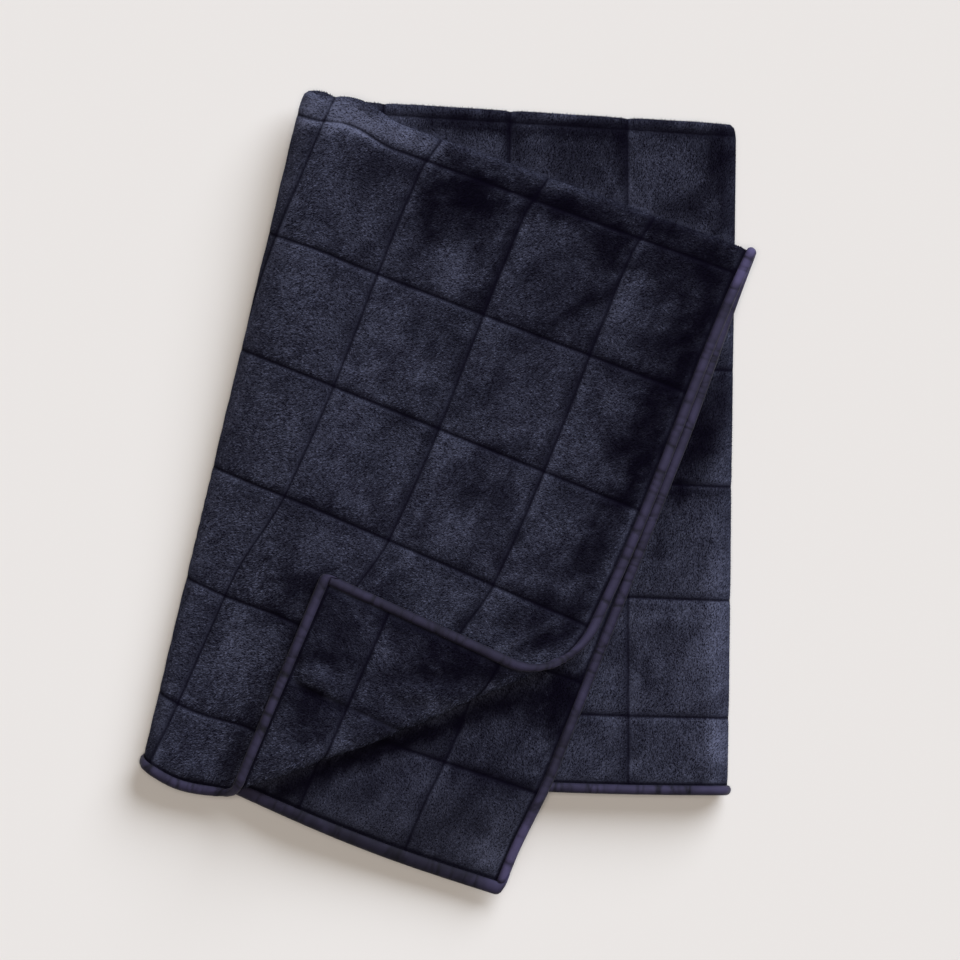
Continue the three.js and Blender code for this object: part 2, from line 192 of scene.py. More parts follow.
@dataclass(frozen=True)
class Crease:
    """A soft ridge, or a trough where height is negative, along a line seen from above."""

    zone: Zone
    start: Pair
    end: Pair
    width: float
    height: float
    end_fade: float = 0.2

    def lift(self, x: Array, y: Array) -> Array:
        """Height over the sheet: a bell across the line, fading past both its ends.

        Args:
            x: places across, seen from above.
            y: places along, seen from above.

        Returns:
            The height at each place.
        """
        along = np.subtract(self.end, self.start)
        length = float(np.hypot(*along))
        along = along / length
        off_x, off_y = x - self.start[0], y - self.start[1]
        share = (off_x * along[0] + off_y * along[1]) / length
        aside = (off_y * along[0] - off_x * along[1]) / self.width
        past = self.end_fade
        fade = smooth((share + past) / (2.0 * past)) * smooth((1.0 + past - share) / (2.0 * past))
        return self.height * np.exp(-aside**2) * fade


@dataclass(frozen=True)
class BrushAndLightPatch:
    """A soft oval that makes the pile lighter, or darker where tone is negative: tone from the brushing, and
    in many patches painted shadow, shade and highlight.
    """

    zone: Zone
    at: Pair
    reach: Pair
    turn: float
    tone: float
    border_power: float = 1.7

    @property
    def side(self) -> int:
        """The face that shows there: the outer one on the front and the back panel."""
        return 1 if self.zone in (Zone.FRONT, Zone.PANEL, Zone.OTHER) else -1

    @staticmethod
    def raggedness(x: Array, y: Array) -> Array:
        """How far a border strays at places seen from above, the same for all patches."""
        return noise_sum(x, y, RAGGED_BORDER)

    def tint(self, x: Array, y: Array, ragged: Array) -> Array:
        """Share of the tone added at places seen from above: an oval with a ragged border.

        Args:
            x: places across, seen from above.
            y: places along, seen from above.
            ragged: how far a border strays at each place.

        Returns:
            The share at each place.
        """
        angle = math.radians(self.turn)
        off_x, off_y = x - self.at[0], y - self.at[1]
        along = (off_x * math.cos(angle) + off_y * math.sin(angle)) / self.reach[0]
        aside = (off_y * math.cos(angle) - off_x * math.sin(angle)) / self.reach[1]
        off = np.maximum(along**2 + aside**2 + ragged, 0.0)
        return self.tone * np.exp(-(off**self.border_power))


def brush_and_light_patches(zone: Zone, *ovals: tuple[float, ...]) -> tuple[BrushAndLightPatch, ...]:
    """Patches of one zone. An oval is x, y, its reaches along and aside, its turn in degrees and its tone."""
    return tuple(BrushAndLightPatch(zone, oval[:2], oval[2:4], *oval[4:]) for oval in ovals)


@dataclass(frozen=True)
class FoldLine:
    """A side fold seen from above: its outline's ends, and which way the cloth lies from it."""

    top: Pair
    foot: Pair
    inward_sign: int


@dataclass(frozen=True)
class FreeEdge:
    """A free side edge seen from above. Between two shares of its length it is bowed fully to one side."""

    top: Pair
    foot: Pair
    bow: float
    bow_full: Pair
    bow_end: float


@dataclass(frozen=True)
class RowPlan:
    """How the rows through flat points lie, with one value, or one place seen from above, for each point."""

    # distance along the sheet, its parts down and up from the top fold, and the share of the layer's length
    v: Array
    down: Array
    lift: Array
    share: Array
    # the free edge and both turns, and how far across the sheet the turns begin
    start: Array
    left: Array
    right: Array
    left_u: Array
    right_u: Array


@dataclass
class FoldedSheet:
    """The sheet's mid surface: doubled at the top fold, laid in three panels, one corner turned back."""

    # the flat sheet
    width: float = 1152.0
    front_length: float = 615.0
    back_length: float = 609.0
    last_back_seam: float = 540.0
    back_row_skew: float = 26.0
    back_skew_reach: float = 600.0
    # the cloth's thickness, and how its layers and turns lie over one another
    crown: float = 7.8
    seam: float = 3.2
    layer_spacing: float = 8.6
    turn_radius: float = 9.8
    turn_path_radius: float = 12.0
    top_half_thickness: float = 3.0
    corner_reach: float = 18.0
    corner_depth: float = 0.25
    rest_sink: float = 1.0
    # folds and free edges seen from above
    left_fold: FoldLine = FoldLine((-131.0, 353.0), (-272.0, -234.0), 1)
    right_fold: FoldLine = FoldLine((255.0, 324.0), (247.0, -266.0), -1)
    front_edge: FreeEdge = FreeEdge((268.5, 211.0), (-2.0, -366.0), 14.5, (0.5, 0.55), 0.71)
    back_edge: FreeEdge = FreeEdge((269.0, 211.0), (45.0, -353.0), 5.5, (0.3, 0.8), 0.95)
    edge_blend: float = 12.0
    right_turn_u: Pair = (770.0, 761.0)
    # how the panels sag, bulge and bow away from straight
    panel_sag: float = 8.0
    hidden_rise: float = 0.02
    foot_bulge: float = 14.0
    foot_bulge_at: Pair = (30.0, 72.0)
    foot_bulge_power: float = 4.0
    top_bump: float = -8.0
    top_bump_at: Pair = (55.0, 40.0)
    top_bump_fade: float = 3.0
    panel_dip: float = 7.5
    panel_dip_from: float = 0.06
    foot_bow: float = 6.2
    foot_bow_at: Pair = (120.0, 170.0)
    foot_bow_power: float = 6.0
    front_stretch: float = 5.2
    stretch_fades: tuple[float, float, float] = (60.0, 70.0, 40.0)
    # the turned-back corner, with its roll's open end
    flap_from: Pair = (-178.0, -262.0)
    flap_to: Pair = (88.0, -164.0)
    flap_radius: float = 8.0
    flap_settle: float = 90.0
    opening_reach: float = 110.0
    opening_inset: float = 28.0
    opening_radius: float = 28.0
    opening_half_rise: float = 11.5
    # how the left side sinks to the floor and the foot droops
    left_sink_from: float = -116.0
    left_sink_reach: float = 110.0
    droop_reach: float = 100.0
    droop_depth: float = 24.0
    # how the finished sheet is placed and measured
    centring: Pair = (1.641, 1.726)
    normal_step: float = 0.4
    turn_squeezed: float = 0.7
    creases: tuple[Crease, ...] = ()

    def __post_init__(self) -> None:
        """Works out the folds' axes and the turned-back corner's roll."""
        self.turn_length = math.pi * self.turn_path_radius
        self.top_radius = self.layer_spacing / 2
        self.top_reach = self.top_radius * math.pi / 2
        self.top_overhang = self.top_radius + self.top_half_thickness
        lowest = (self.layer_spacing + self.crown) / 2 - self.rest_sink
        self.height = lowest + 3.0 * self.turn_radius
        self.left_top, self.left_foot, self.left_down, self.left_in = self.fold_axis(self.left_fold)
        self.right_top, self.right_foot, _, self.right_in = self.fold_axis(self.right_fold)
        self.flap_along = unit(np.subtract(self.flap_to, self.flap_from))
        self.flap_out = np.array([self.flap_along[1], -self.flap_along[0]])
        self.flap_axis = np.array(self.flap_from) - self.flap_out * (self.flap_radius + self.seam)

    def fold_axis(self, fold: FoldLine) -> tuple[Array, Array, Array, Array]:
        """The axis inside a fold's outline: its ends, its direction down and its inward side.

        Args:
            fold: the side fold.

        Returns:
            The axis's top end, its foot, its direction down and its inward side.
        """
        top, foot = np.array(fold.top), np.array(fold.foot)
        down = unit(foot - top)
        inward = np.array([-down[1], down[0]]) * fold.inward_sign
        overhang = self.turn_radius + (self.layer_spacing + self.crown) / 2
        return top + inward * overhang + down * self.top_overhang, foot + inward * overhang, down, inward

    def edge_point(self, edge: FreeEdge, share: Array) -> Array:
        """Points on a free edge at shares of its length below the top fold.

        Args:
            edge: the free edge.
            share: shares of its length.

        Returns:
            One point seen from above for each share.
        """
        top, foot = np.array(edge.top), np.array(edge.foot)
        down = unit(foot - top)
        top = top + down * self.top_overhang
        aside = np.array([-down[1], down[0]])
        full_from, full_to = edge.bow_full
        fading = smooth((share - full_to) / (edge.bow_end - full_to))
        bulge = edge.bow * smooth(share / full_from) * (1.0 - fading)
        return lerp(top, foot, share[..., None]) + aside * bulge[..., None]

    def row_to_length(self, u: Array, row: Array) -> Array:
        """Rows of the back layer run a little askew: the distance v along the sheet for a row.

        Args:
            u: flat places across the sheet.
            row: flat places along the sheet.

        Returns:
            The distance along the sheet for each place.
        """
        past = (row + self.last_back_seam) / (self.last_back_seam - self.back_length)
        above = smooth(-row / self.last_back_seam)
        share = np.where(row > -self.last_back_seam, above, 1.0 - np.clip(past, 0.0, 1.0))
        skew = self.back_row_skew * share * (1.0 - smooth(u / self.back_skew_reach))
        return np.where(row >= 0.0, row, row + skew)

    def rows_in_plan(self, u: Array, row: Array) -> RowPlan:
        """Where each row lies in plan: its start at the free edge, its turns, its place on the top fold.

        Args:
            u: flat places across the sheet.
            row: flat places along the sheet.

        Returns:
            The rows' plan.
        """
        v = self.row_to_length(u, row)
        turn = np.sign(v) * np.minimum(np.abs(v), self.top_reach) / self.top_radius
        flat = np.abs(v) - self.top_reach
        down = np.where(flat > 0.0, flat, -self.top_radius * np.cos(turn))
        lift = self.top_radius * np.sin(turn)
        share = down / (np.where(v > 0.0, self.front_length, self.back_length) - self.top_reach)
        to_back = smooth(0.5 - v / (2.0 * self.edge_blend))[..., None]
        start = lerp(self.edge_point(self.front_edge, share), self.edge_point(self.back_edge, share), to_back)
        left = lerp(self.left_top, self.left_foot, share[..., None])
        right = lerp(self.right_top, self.right_foot, share[..., None])
        left_u = np.linalg.norm(left - start, axis=-1)
        right_u = lerp(self.right_turn_u[0], self.right_turn_u[1], share)
        return RowPlan(v, down, lift, share, start, left, right, left_u, right_u)

    def turn_corner_back(self, u: Array, plan: Array, on_front: Array) -> tuple[Array, Array, Array]:
        """Rolls the front layer's free corner up and lays it back. Near the free edge the roll opens wide.

        Args:
            u: distances across the sheet.
            plan: places seen from above.
            on_front: whether each place is on the front layer.

        Returns:
            The places after the roll, how far each rises, and whether it is past the roll's middle.
        """
        opened = smooth(1.0 - u / self.opening_reach)
        inset = self.opening_inset * opened
        radius = lerp(self.flap_radius, self.opening_radius, opened)
        half_rise = lerp(self.flap_radius, self.opening_half_rise, opened)
        cloth = math.pi * self.flap_radius + 2.0 * inset
        past = np.where(on_front, np.maximum((plan - self.flap_axis) @ self.flap_out + inset, 0.0), 0.0)
        turn = np.pi * np.minimum(past / cloth, 1.0)
        lying = np.maximum(past - cloth, 0.0)
        reach = radius * np.sin(turn) - lying
        spare = 2.0 * half_rise - self.layer_spacing
        rise = half_rise * (1.0 - np.cos(turn)) - spare * smooth(lying / self.flap_settle)
        return plan + self.flap_out * (reach - past)[..., None], rise, past > cloth / 2

    def drift(self, plan: RowPlan) -> Array:
        """How far up the left fold a row goes for each millimetre of cloth round it."""
        return -(unit(plan.left - plan.start) @ self.left_down)

    def rounding(self, plan: RowPlan) -> Array:
        """Share of a side turn's full radius: its end at the top fold is rounded off."""
        corner = 1.0 - np.clip((plan.down + self.top_overhang) / self.corner_reach, 0.0, 1.0)
        return 1.0 - self.corner_depth * corner**2

    def near_top(self, plan: RowPlan) -> Array:
        """How near the top fold each place is: 1 at the fold, falling to 0 as a square."""
        return (1.0 - np.clip(self.top_bump_fade * plan.share, 0.0, 1.0)) ** 2

    def to_left_turn(self, u: Array, plan: RowPlan) -> Array:
        """How far across each point still is from the middle of the left turn."""
        return plan.left_u + self.turn_length / 2 - u

    def bulge(self, u: Array, plan: RowPlan) -> Array:
        """How far the cloth bulges down beside the left turn, most at the front layer's foot."""
        near_foot = np.where(plan.v > 0.0, np.clip(plan.share, 0.0, 1.0) ** self.foot_bulge_power, 0.0)
        return self.foot_bulge * self.hump(self.to_left_turn(u, plan), self.foot_bulge_at) * near_foot

    def front_layer(self, u: Array, plan: RowPlan) -> tuple[Array, Array, Array]:
        """The first panel: rows straight from the free edge to the left turn, then bowed and turned back.

        Args:
            u: flat places across the sheet.
            plan: how their rows lie.

        Returns:
            Places seen from above, heights, and whether each is on the turned-back corner.
        """
        bump = self.top_bump * self.hump(self.to_left_turn(u, plan), self.top_bump_at) * self.near_top(plan)
        near_foot = np.where(plan.v > 0.0, 0.0, np.clip(plan.share, 0.0, 1.0) ** self.foot_bow_power)
        bow = self.foot_bow * self.hump(u, self.foot_bow_at) * near_foot
        from_edge, to_fold, from_top = self.stretch_fades
        drawn = smooth(plan.v / from_top) * smooth(u / from_edge) * smooth((plan.left_u - u) / to_fold)
        drawn = u + self.front_stretch * drawn
        along, down = unit(plan.left - plan.start), bump + self.bulge(u, plan) + bow
        xy = plan.start + along * drawn[..., None] + self.left_down * down[..., None]
        xy, rise, is_turned = self.turn_corner_back(u, xy, plan.v > 0.0)
        z = self.height + self.turn_radius + plan.lift + rise
        (left, left_foot), (right, right_foot) = self.left_foot, self.right_foot
        across = np.clip((xy[..., 0] - left) / (right - left), 0.0, 1.0)
        overhang = lerp(left_foot, right_foot, across) - xy[..., 1]
        return xy, z - self.droop_depth * smooth(overhang / self.droop_reach), is_turned

    def left_turn(self, u: Array, plan: RowPlan) -> tuple[Array, Array]:
        """The turn from the first panel down to the second: half circles that drift up the fold.

        Args:
            u: flat places across the sheet.
            plan: how their rows lie.

        Returns:
            Places seen from above, and heights.
        """
        past = u - plan.left_u
        angle = np.pi * past / self.turn_length
        radius = self.turn_radius + plan.lift
        out = (radius * self.rounding(plan) * np.sin(angle))[..., None]
        shift = (self.bulge(u, plan) - self.drift(plan) * past)[..., None]
        return plan.left - self.left_in * out + self.left_down * shift, self.height + radius * np.cos(angle)

    def back_panel(self, u: Array, plan: RowPlan) -> tuple[Array, Array]:
        """The second panel: rows from the left turn to the right one, with their slack near the left.

        Args:
            u: flat places across the sheet.
            plan: how their rows lie.

        Returns:
            Places seen from above, and heights.
        """
        begin = plan.left - self.left_down * (self.drift(plan) * self.turn_length)[..., None]
        cloth = plan.right_u - plan.left_u - self.turn_length
        rest = (plan.right_u - u) / cloth
        slack = cloth / np.linalg.norm(plan.right - begin, axis=-1)
        reach = 1.0 - rest * (slack + (1.0 - slack) * rest**2)
        xy = lerp(begin, plan.right, reach[..., None]) + self.left_down * self.bulge(u, plan)[..., None]
        sag = self.panel_sag * 4.0 * reach * (1.0 - reach) * np.clip(plan.share, 0.0, 1.0) ** 2
        dip = self.panel_dip * (1.0 - reach) * smooth(reach / self.panel_dip_from) * self.near_top(plan)
        return xy - np.stack([np.zeros_like(sag), sag + dip], -1), self.height - self.turn_radius - plan.lift

    def right_turn(self, u: Array, plan: RowPlan) -> tuple[Array, Array]:
        """The turn from the second panel down to the third: half circles.

        Args:
            u: flat places across the sheet.
            plan: how their rows lie.

        Returns:
            Places seen from above, and heights.
        """
        angle = np.pi * (u - plan.right_u) / self.turn_length
        radius = self.turn_radius - plan.lift
        out = (radius * self.rounding(plan) * np.sin(angle))[..., None]
        z = self.height + radius * np.cos(angle) - 2.0 * self.turn_radius
        return plan.right - self.right_in * out, z

    def hidden_panel(self, u: Array, plan: RowPlan) -> tuple[Array, Array]:
        """The third panel: rows straight back from the right turn, inside the fold.

        Args:
            u: flat places across the sheet.
            plan: how their rows lie.

        Returns:
            Places seen from above, and heights.
        """
        inside = u - plan.right_u - self.turn_length
        xy = plan.right + np.stack([-inside, self.hidden_rise * inside], -1)
        return xy, self.height - 3.0 * self.turn_radius + plan.lift

    def place(self, u: Array, row: Array) -> tuple[Array, Array]:
        """Folds flat points into space: each point is laid by the panel or turn that it lies in.

        Args:
            u: flat places across the sheet.
            row: flat places along the sheet.

        Returns:
            The points, and the zone that each lies in.
        """
        plan = self.rows_in_plan(u, row)
        left_u, right_u, is_front = plan.left_u, plan.right_u, plan.v > 0.0
        front, front_z, is_turned = self.front_layer(u, plan)
        laid = [(front, front_z), self.left_turn(u, plan), self.back_panel(u, plan), self.right_turn(u, plan)]
        hidden, hidden_z = self.hidden_panel(u, plan)
        panels = [u < left_u, u < left_u + self.turn_length, u < right_u, u < right_u + self.turn_length]
        xy = np.select([panel[..., None] for panel in panels], [places for places, _ in laid], hidden)
        z = np.select(panels, [heights for _, heights in laid], hidden_z)
        sink = 2.0 * self.turn_radius * smooth((self.left_sink_from - xy[..., 0]) / self.left_sink_reach)
        z = np.where(u < right_u, z - sink, z)
        zones = [panels[0] & is_turned, panels[0] & is_front, panels[0], panels[3] & (plan.v < 0.0)]
        zone = np.select(zones, [Zone.FLAP, Zone.FRONT, Zone.UNDER, Zone.PANEL], Zone.OTHER)
        return np.concatenate([xy + np.array(self.centring), z[..., None]], -1), zone

    def from_left_fold(self, points: Array) -> Array:
        """Distance to the right of the left fold's outline, seen from above."""
        return (points[..., :2] - np.array(self.left_fold.top)) @ self.left_in

    @staticmethod
    def hump(at: Array, where: Pair) -> Array:
        """A rounded hump of height one, given its centre and reach."""
        return np.maximum(1.0 - ((at - where[0]) / where[1]) ** 2, 0.0) ** 2

    def surface(self, u: Array, row: Array) -> tuple[Array, Array, Array]:
        """The creased mid surface.

        Args:
            u: distances across the sheet.
            row: distances along the sheet.

        Returns:
            The points, the unit normals on the outer side, and the zones.
        """
        points, zone = self.place(u, row)
        step = self.normal_step
        across = self.place(u + step, row)[0] - self.place(u - step, row)[0]
        along = self.place(u, row + step)[0] - self.place(u, row - step)[0]
        normal = unit(np.cross(across, along))
        lift = np.zeros(u.shape)
        for crease in self.creases:
            lift += np.where(zone == crease.zone, crease.lift(points[..., 0], points[..., 1]), 0.0)
        points[..., 2] += lift
        return points, normal, zone

    def turn_squeeze(self, u: Array, row: Array) -> Array:
        """Share of the full padding: the cloth is squeezed thinner where it goes round a side turn.

        Args:
            u: flat places across the sheet.
            row: flat places along the sheet.

        Returns:
            The share at each place.
        """
        plan = self.rows_in_plan(u, row)
        half = self.turn_length / 2
        off = np.minimum(np.abs(u - plan.left_u - half), np.abs(u - plan.right_u - half))
        return 1.0 - self.turn_squeezed * (1.0 - smooth(off / self.turn_length))


@dataclass(frozen=True)
class FibreGrain:
    """Fine fibre grain that breaks up a tone, as a node group that the plush finishes share."""

    name: str = "Brushed pile"
    scale: float = 620.0
    detail: float = 3.0
    roughness: float = 0.65
    grain_range: Pair = (0.3, 0.7)
    speckle_range: Pair = (0.35, 1.65)

    def group(self) -> bpy.types.ShaderNodeTree:
        """Node group: a colour from dark to light by the speckled tone, and the grain's height.

        Returns:
            The node group, which is made once.
        """
        if self.name in bpy.data.node_groups:
            return bpy.data.node_groups[self.name]
        group = bpy.data.node_groups.new(self.name, "ShaderNodeTree")
        sockets = group.interface.new_socket
        sockets("Tone", in_out="INPUT", socket_type="NodeSocketFloat")
        sockets("Dark", in_out="INPUT", socket_type="NodeSocketColor")
        sockets("Light", in_out="INPUT", socket_type="NodeSocketColor")
        sockets("Color", in_out="OUTPUT", socket_type="NodeSocketColor")
        sockets("Height", in_out="OUTPUT", socket_type="NodeSocketFloat")
        nodes, links = group.nodes, group.links
        source, result = nodes.new("NodeGroupInput"), nodes.new("NodeGroupOutput")
        place = nodes.new("ShaderNodeTexCoord")
        grain = nodes.new("ShaderNodeTexNoise")
        set_inputs(grain, Scale=self.scale, Detail=self.detail, Roughness=self.roughness)
        links.new(place.outputs["Object"], grain.inputs["Vector"])
        speckle = nodes.new("ShaderNodeMapRange")
        set_inputs(speckle, From_Min=self.grain_range[0], From_Max=self.grain_range[1],
                   To_Min=self.speckle_range[0], To_Max=self.speckle_range[1])
        links.new(grain.outputs["Fac"], speckle.inputs["Value"])
        speckled = nodes.new("ShaderNodeMath")
        speckled.operation = "MULTIPLY"
        speckled.use_clamp = True
        links.new(source.outputs["Tone"], speckled.inputs[0])
        links.new(speckle.outputs["Result"], speckled.inputs[1])
        mix = nodes.new("ShaderNodeMix")
        mix.data_type = "RGBA"
        links.new(speckled.outputs["Value"], mix.inputs["Factor"])
        links.new(source.outputs["Dark"], mix.inputs[MIX_FROM])
        links.new(source.outputs["Light"], mix.inputs[MIX_TO])
        links.new(mix.outputs[MIX_RESULT], result.inputs["Color"])
        links.new(grain.outputs["Fac"], result.inputs["Height"])
        return group


@dataclass(frozen=True)
class PlushFinish:
    """Short navy pile, lighter and darker by a tone that holds painted shade and highlights as well as the
    brushing, with a fine fibre grain and a soft sheen.
    """

    name: str
    dark: Colour = (0.0028, 0.0021, 0.0060)
    light: Colour = (0.122, 0.131, 0.205)
    roughness: float = 0.9
    sheen: float = 0.02
    sheen_roughness: float = 0.45
    sheen_tint: Colour = (0.55, 0.6, 0.85)
    grain: FibreGrain = FibreGrain()
    grain_strength: float = 0.5
    grain_height: float = 0.0012

    def material(self) -> bpy.types.Material:
        """Tone from the tone attribute, which holds painted shade and highlights, broken up by grain, under a
        soft sheen.

        Returns:
            The plush material.
        """
        made, shader = new_material(self.name)
        nodes, links = made.node_tree.nodes, made.node_tree.links
        set_inputs(shader, Roughness=self.roughness, Sheen_Weight=self.sheen,
                   Sheen_Roughness=self.sheen_roughness, Sheen_Tint=(*self.sheen_tint, 1.0),
                   Specular_IOR_Level=0.0)
        tone = nodes.new("ShaderNodeAttribute")
        tone.attribute_name = "tone"
        grained = nodes.new("ShaderNodeGroup")
        grained.node_tree = self.grain.group()
        set_inputs(grained, Dark=(*self.dark, 1.0), Light=(*self.light, 1.0))
        links.new(tone.outputs["Fac"], grained.inputs["Tone"])
        links.new(grained.outputs["Color"], shader.inputs["Base Color"])
        bump = nodes.new("ShaderNodeBump")
        set_inputs(bump, Strength=self.grain_strength, Distance=self.grain_height)
        links.new(grained.outputs["Height"], bump.inputs["Height"])
        links.new(bump.outputs["Normal"], shader.inputs["Normal"])
        return made


@dataclass(frozen=True)
class TapeFinish:
    """Woven tape, purple navy, with fine ribs across and painted shade in its gathers."""

    name: str
    colour: Colour = (0.078, 0.066, 0.150)
    shade: Colour = (0.005, 0.0045, 0.010)
    roughness: float = 0.72
    sheen: float = 0.05
    sheen_roughness: float = 0.4
    gloss: float = 0.2
    rib_pitch: float = 0.0006
    rib_wander: float = 1.5
    rib_detail: float = 2.0
    rib_strength: float = 0.35
    rib_height: float = 0.0003

    def material(self) -> bpy.types.Material:
        """Tone from the tone attribute, with painted shade in the gathers, and fine ribs raised across the
        tape.

        Returns:
            The tape's material.
        """
        made, shader = new_material(self.name)
        nodes, links = made.node_tree.nodes, made.node_tree.links
        set_inputs(shader, Roughness=self.roughness, Sheen_Weight=self.sheen,
                   Sheen_Roughness=self.sheen_roughness, Specular_IOR_Level=self.gloss)
        tone = nodes.new("ShaderNodeAttribute")
        tone.attribute_name = "tone"
        mix = nodes.new("ShaderNodeMix")
        mix.data_type = "RGBA"
        mix.inputs[MIX_FROM].default_value = (*self.shade, 1.0)
        mix.inputs[MIX_TO].default_value = (*self.colour, 1.0)
        links.new(tone.outputs["Fac"], mix.inputs["Factor"])
        links.new(mix.outputs[MIX_RESULT], shader.inputs["Base Color"])
        tape = nodes.new("ShaderNodeUVMap")
        tape.uv_map = TAPE_MAP
        rib = nodes.new("ShaderNodeTexWave")
        rib.bands_direction = "X"
        set_inputs(rib, Scale=math.tau / (WAVE_TURN * self.rib_pitch), Distortion=self.rib_wander,
                   Detail=self.rib_detail)
        links.new(tape.outputs["UV"], rib.inputs["Vector"])
        bump = nodes.new("ShaderNodeBump")
        set_inputs(bump, Strength=self.rib_strength, Distance=self.rib_height)
        links.new(rib.outputs["Fac"], bump.inputs["Height"])
        links.new(bump.outputs["Normal"], shader.inputs["Normal"])
        return made


@dataclass(frozen=True)
class SeamShade:
    """Painted shade and highlight beside the quilting lines that run one way: ahead of a line, behind it, and
    painted shade in its dark core.
    """

    reach: float
    tones: Pair
    core_depth: float
    core_reach: float

    def beside(self, lines: Array, at: Array, sense: Array) -> Array:
        """Share of tone added beside the nearest line, painted shade on one side and highlight on the other:
        the first one ahead, the other behind, fading away.

        Args:
            lines: the seam lines that run one way.
            at: flat places along the way that crosses them.
            sense: 1 where ahead is the way that places count, -1 where it is not.

        Returns:
            The share at each place.
        """
        nearest = lines[np.abs(at[..., None] - lines).argmin(-1)]
        ahead = (at - nearest) * sense
        return np.where(ahead > 0.0, *self.tones) * np.exp(-((ahead / self.reach) ** 2))

    def core(self, gap: Array) -> Array:
        """Share of tone taken away at distances from the nearest line: painted shade in the seam's groove."""
        return self.core_depth * np.exp(-((gap / self.core_reach) ** 2))


@dataclass
class Quilt:
    """The square-quilted plush sheet as one closed mesh: two padded faces and a rim."""

    sheet: FoldedSheet
    finish: PlushFinish
    columns: tuple[float, ...] = tuple(92.8 + 99.4 * i for i in range(11))
    front_rows: tuple[float, ...] = (24.5, 133.5, 240.5, 347.5, 448.0, 550.0)
    back_rows: tuple[float, ...] = (13.0, 119.0, 225.0, 330.5, 433.5, 540.0)
    stitch_in: float = 9.0
    edge_in: float = 2.1
    crown_half: float = 2.5
    seam_half: float = 0.45
    edge_half: float = 0.6
    pillow_power: float = 6.0
    full_cell: float = 70.0
    groove: float = 2.6
    groove_share: float = 0.45
    plain_tone: float = 0.235
    contrast: float = 1.3
    # painted sheen highlight that lightens the left fold
    left_fold_sheen: float = 0.15
    patches: tuple[BrushAndLightPatch, ...] = ()
    # grid lines beside a seam, and the widest steps up to given places across and along
    beside_seam: tuple[float, ...] = (0.9, 2.2, 4.2, 7.4)
    beside_most: float = 0.25
    coarse_step: float = 9.0
    steps_across: tuple[Pair, ...] = ((540.0, 5.2), (800.0, 9.0), (1200.0, 22.0))
    steps_along: tuple[Pair, ...] = ((-30.0, 8.6), (60.0, 3.8), (700.0, 6.2))
    # lumps in the padding, and mottle and smudges in the pile's tone
    lumps: tuple[Noise, ...] = ((0.22, 34.0, 11), (0.12, 13.0, 12))
    mottle: tuple[Noise, ...] = ((0.16, 46.0, 21), (0.096, 21.0, 31), (0.24, 9.0, 41))
    smudge_noise: tuple[Noise, ...] = ((1.0, 24.0, 81), (0.7, 9.0, 91))
    smudge_stretch: float = 0.6
    smudge_from: float = 0.1
    smudge_ramp: float = 0.6
    smudges: tuple[float, ...] = (0.38, 0.35, 0.3, 0.38, 0.1)
    least_smudge: float = 0.25
    calm_reach: float = 170.0
    # painted shade and highlight beside the seams, with its share in each zone and where it fades on the
    # front layer
    column_shade: SeamShade = SeamShade(5.0, (-0.55, 0.5), 0.8, 1.2)
    row_shade: SeamShade = SeamShade(4.5, (-0.45, 0.25), 0.85, 1.4)
    column_shares: tuple[float, ...] = (1.0, 0.15, 0.8, 0.8, 0.8)
    core_shares: tuple[float, ...] = (1.0, 0.15, 1.0, 1.0, 1.0)
    shade_noise: tuple[Noise, ...] = ((0.35, 24.0, 51),)
    left_shade: float = 0.5
    left_shade_from: float = -110.0
    left_shade_reach: float = 200.0
    panel_faint_above: float = -60.0
    panel_faint_core: float = 0.4
    # margins in the map for textures
    map_margin: float = 0.01
    map_rim: float = 0.004

    def __post_init__(self) -> None:
        """Works out the seam lines across and along."""
        self.column_lines = np.array([self.stitch_in, *self.columns, self.sheet.width - self.stitch_in])
        back = [-row for row in reversed(self.back_rows)]
        low, high = self.stitch_in - self.sheet.back_length, self.sheet.front_length - self.stitch_in
        self.row_lines = np.array([low, *back, *self.front_rows, high])

    def grid(self, lines: Array, steps: tuple[Pair, ...], ends: Pair) -> Array:
        """Grid lines along one way of the sheet: close beside each seam, wider over the squares.

        Args:
            lines: the seam lines.
            steps: pairs of where a stretch ends and its widest step.
            ends: the cloth's two edges.

        Returns:
            The grid lines in order.
        """
        beside = np.array(self.beside_seam)
        made = [np.array(ends), lines]
        for low, high in zip(lines[:-1], lines[1:]):
            size = high - low
            widest = next(step for end, step in steps if (low + high) / 2 < end)
            is_fine = widest < self.coarse_step
            near = beside[beside < self.beside_most * size] if is_fine else beside[1::2]
            made += [low + near, high - near]
            inner = (low + near[-1], high - near[-1])
            made.append(np.linspace(*inner, max(2, int(round((inner[1] - inner[0]) / widest)) + 1)))
        return np.unique(np.round(np.concatenate(made), 4))

    def fullness(self, lines: Array, at: Array) -> Array:
        """Padding between two seams: a flat-topped pillow sharpened by a narrow groove at each seam.

        Args:
            lines: the seam lines that run one way.
            at: flat places along the way that crosses them.

        Returns:
            The padding at each place, 0 to 1.
        """
        after = np.clip(np.searchsorted(lines, at, side="right"), 1, len(lines) - 1)
        low, high = lines[after - 1], lines[after]
        size = high - low
        across = np.clip(2.0 * (at - low) / size - 1.0, -1.0, 1.0)
        pillow = 1.0 - np.abs(across) ** self.pillow_power
        to_seam = np.clip(np.minimum(at - low, high - at), 0.0, None)
        dip = 1.0 - np.exp(-((to_seam / self.groove) ** 2))
        full = (1.0 - self.groove_share) * pillow + self.groove_share * dip
        return np.minimum(1.0, size / self.full_cell) * full

    @staticmethod
    def seam_gap(lines: Array, at: Array) -> Array:
        """Distance to the nearest of the seams that run one way."""
        after = np.clip(np.searchsorted(lines, at, side="right"), 1, len(lines) - 1)
        return np.minimum(np.abs(at - lines[after - 1]), np.abs(lines[after] - at))

    def seam_distance(self, u: Array, row: Array) -> Array:
        """Distance to the nearest seam."""
        return np.minimum(self.seam_gap(self.column_lines, u), self.seam_gap(self.row_lines, row))

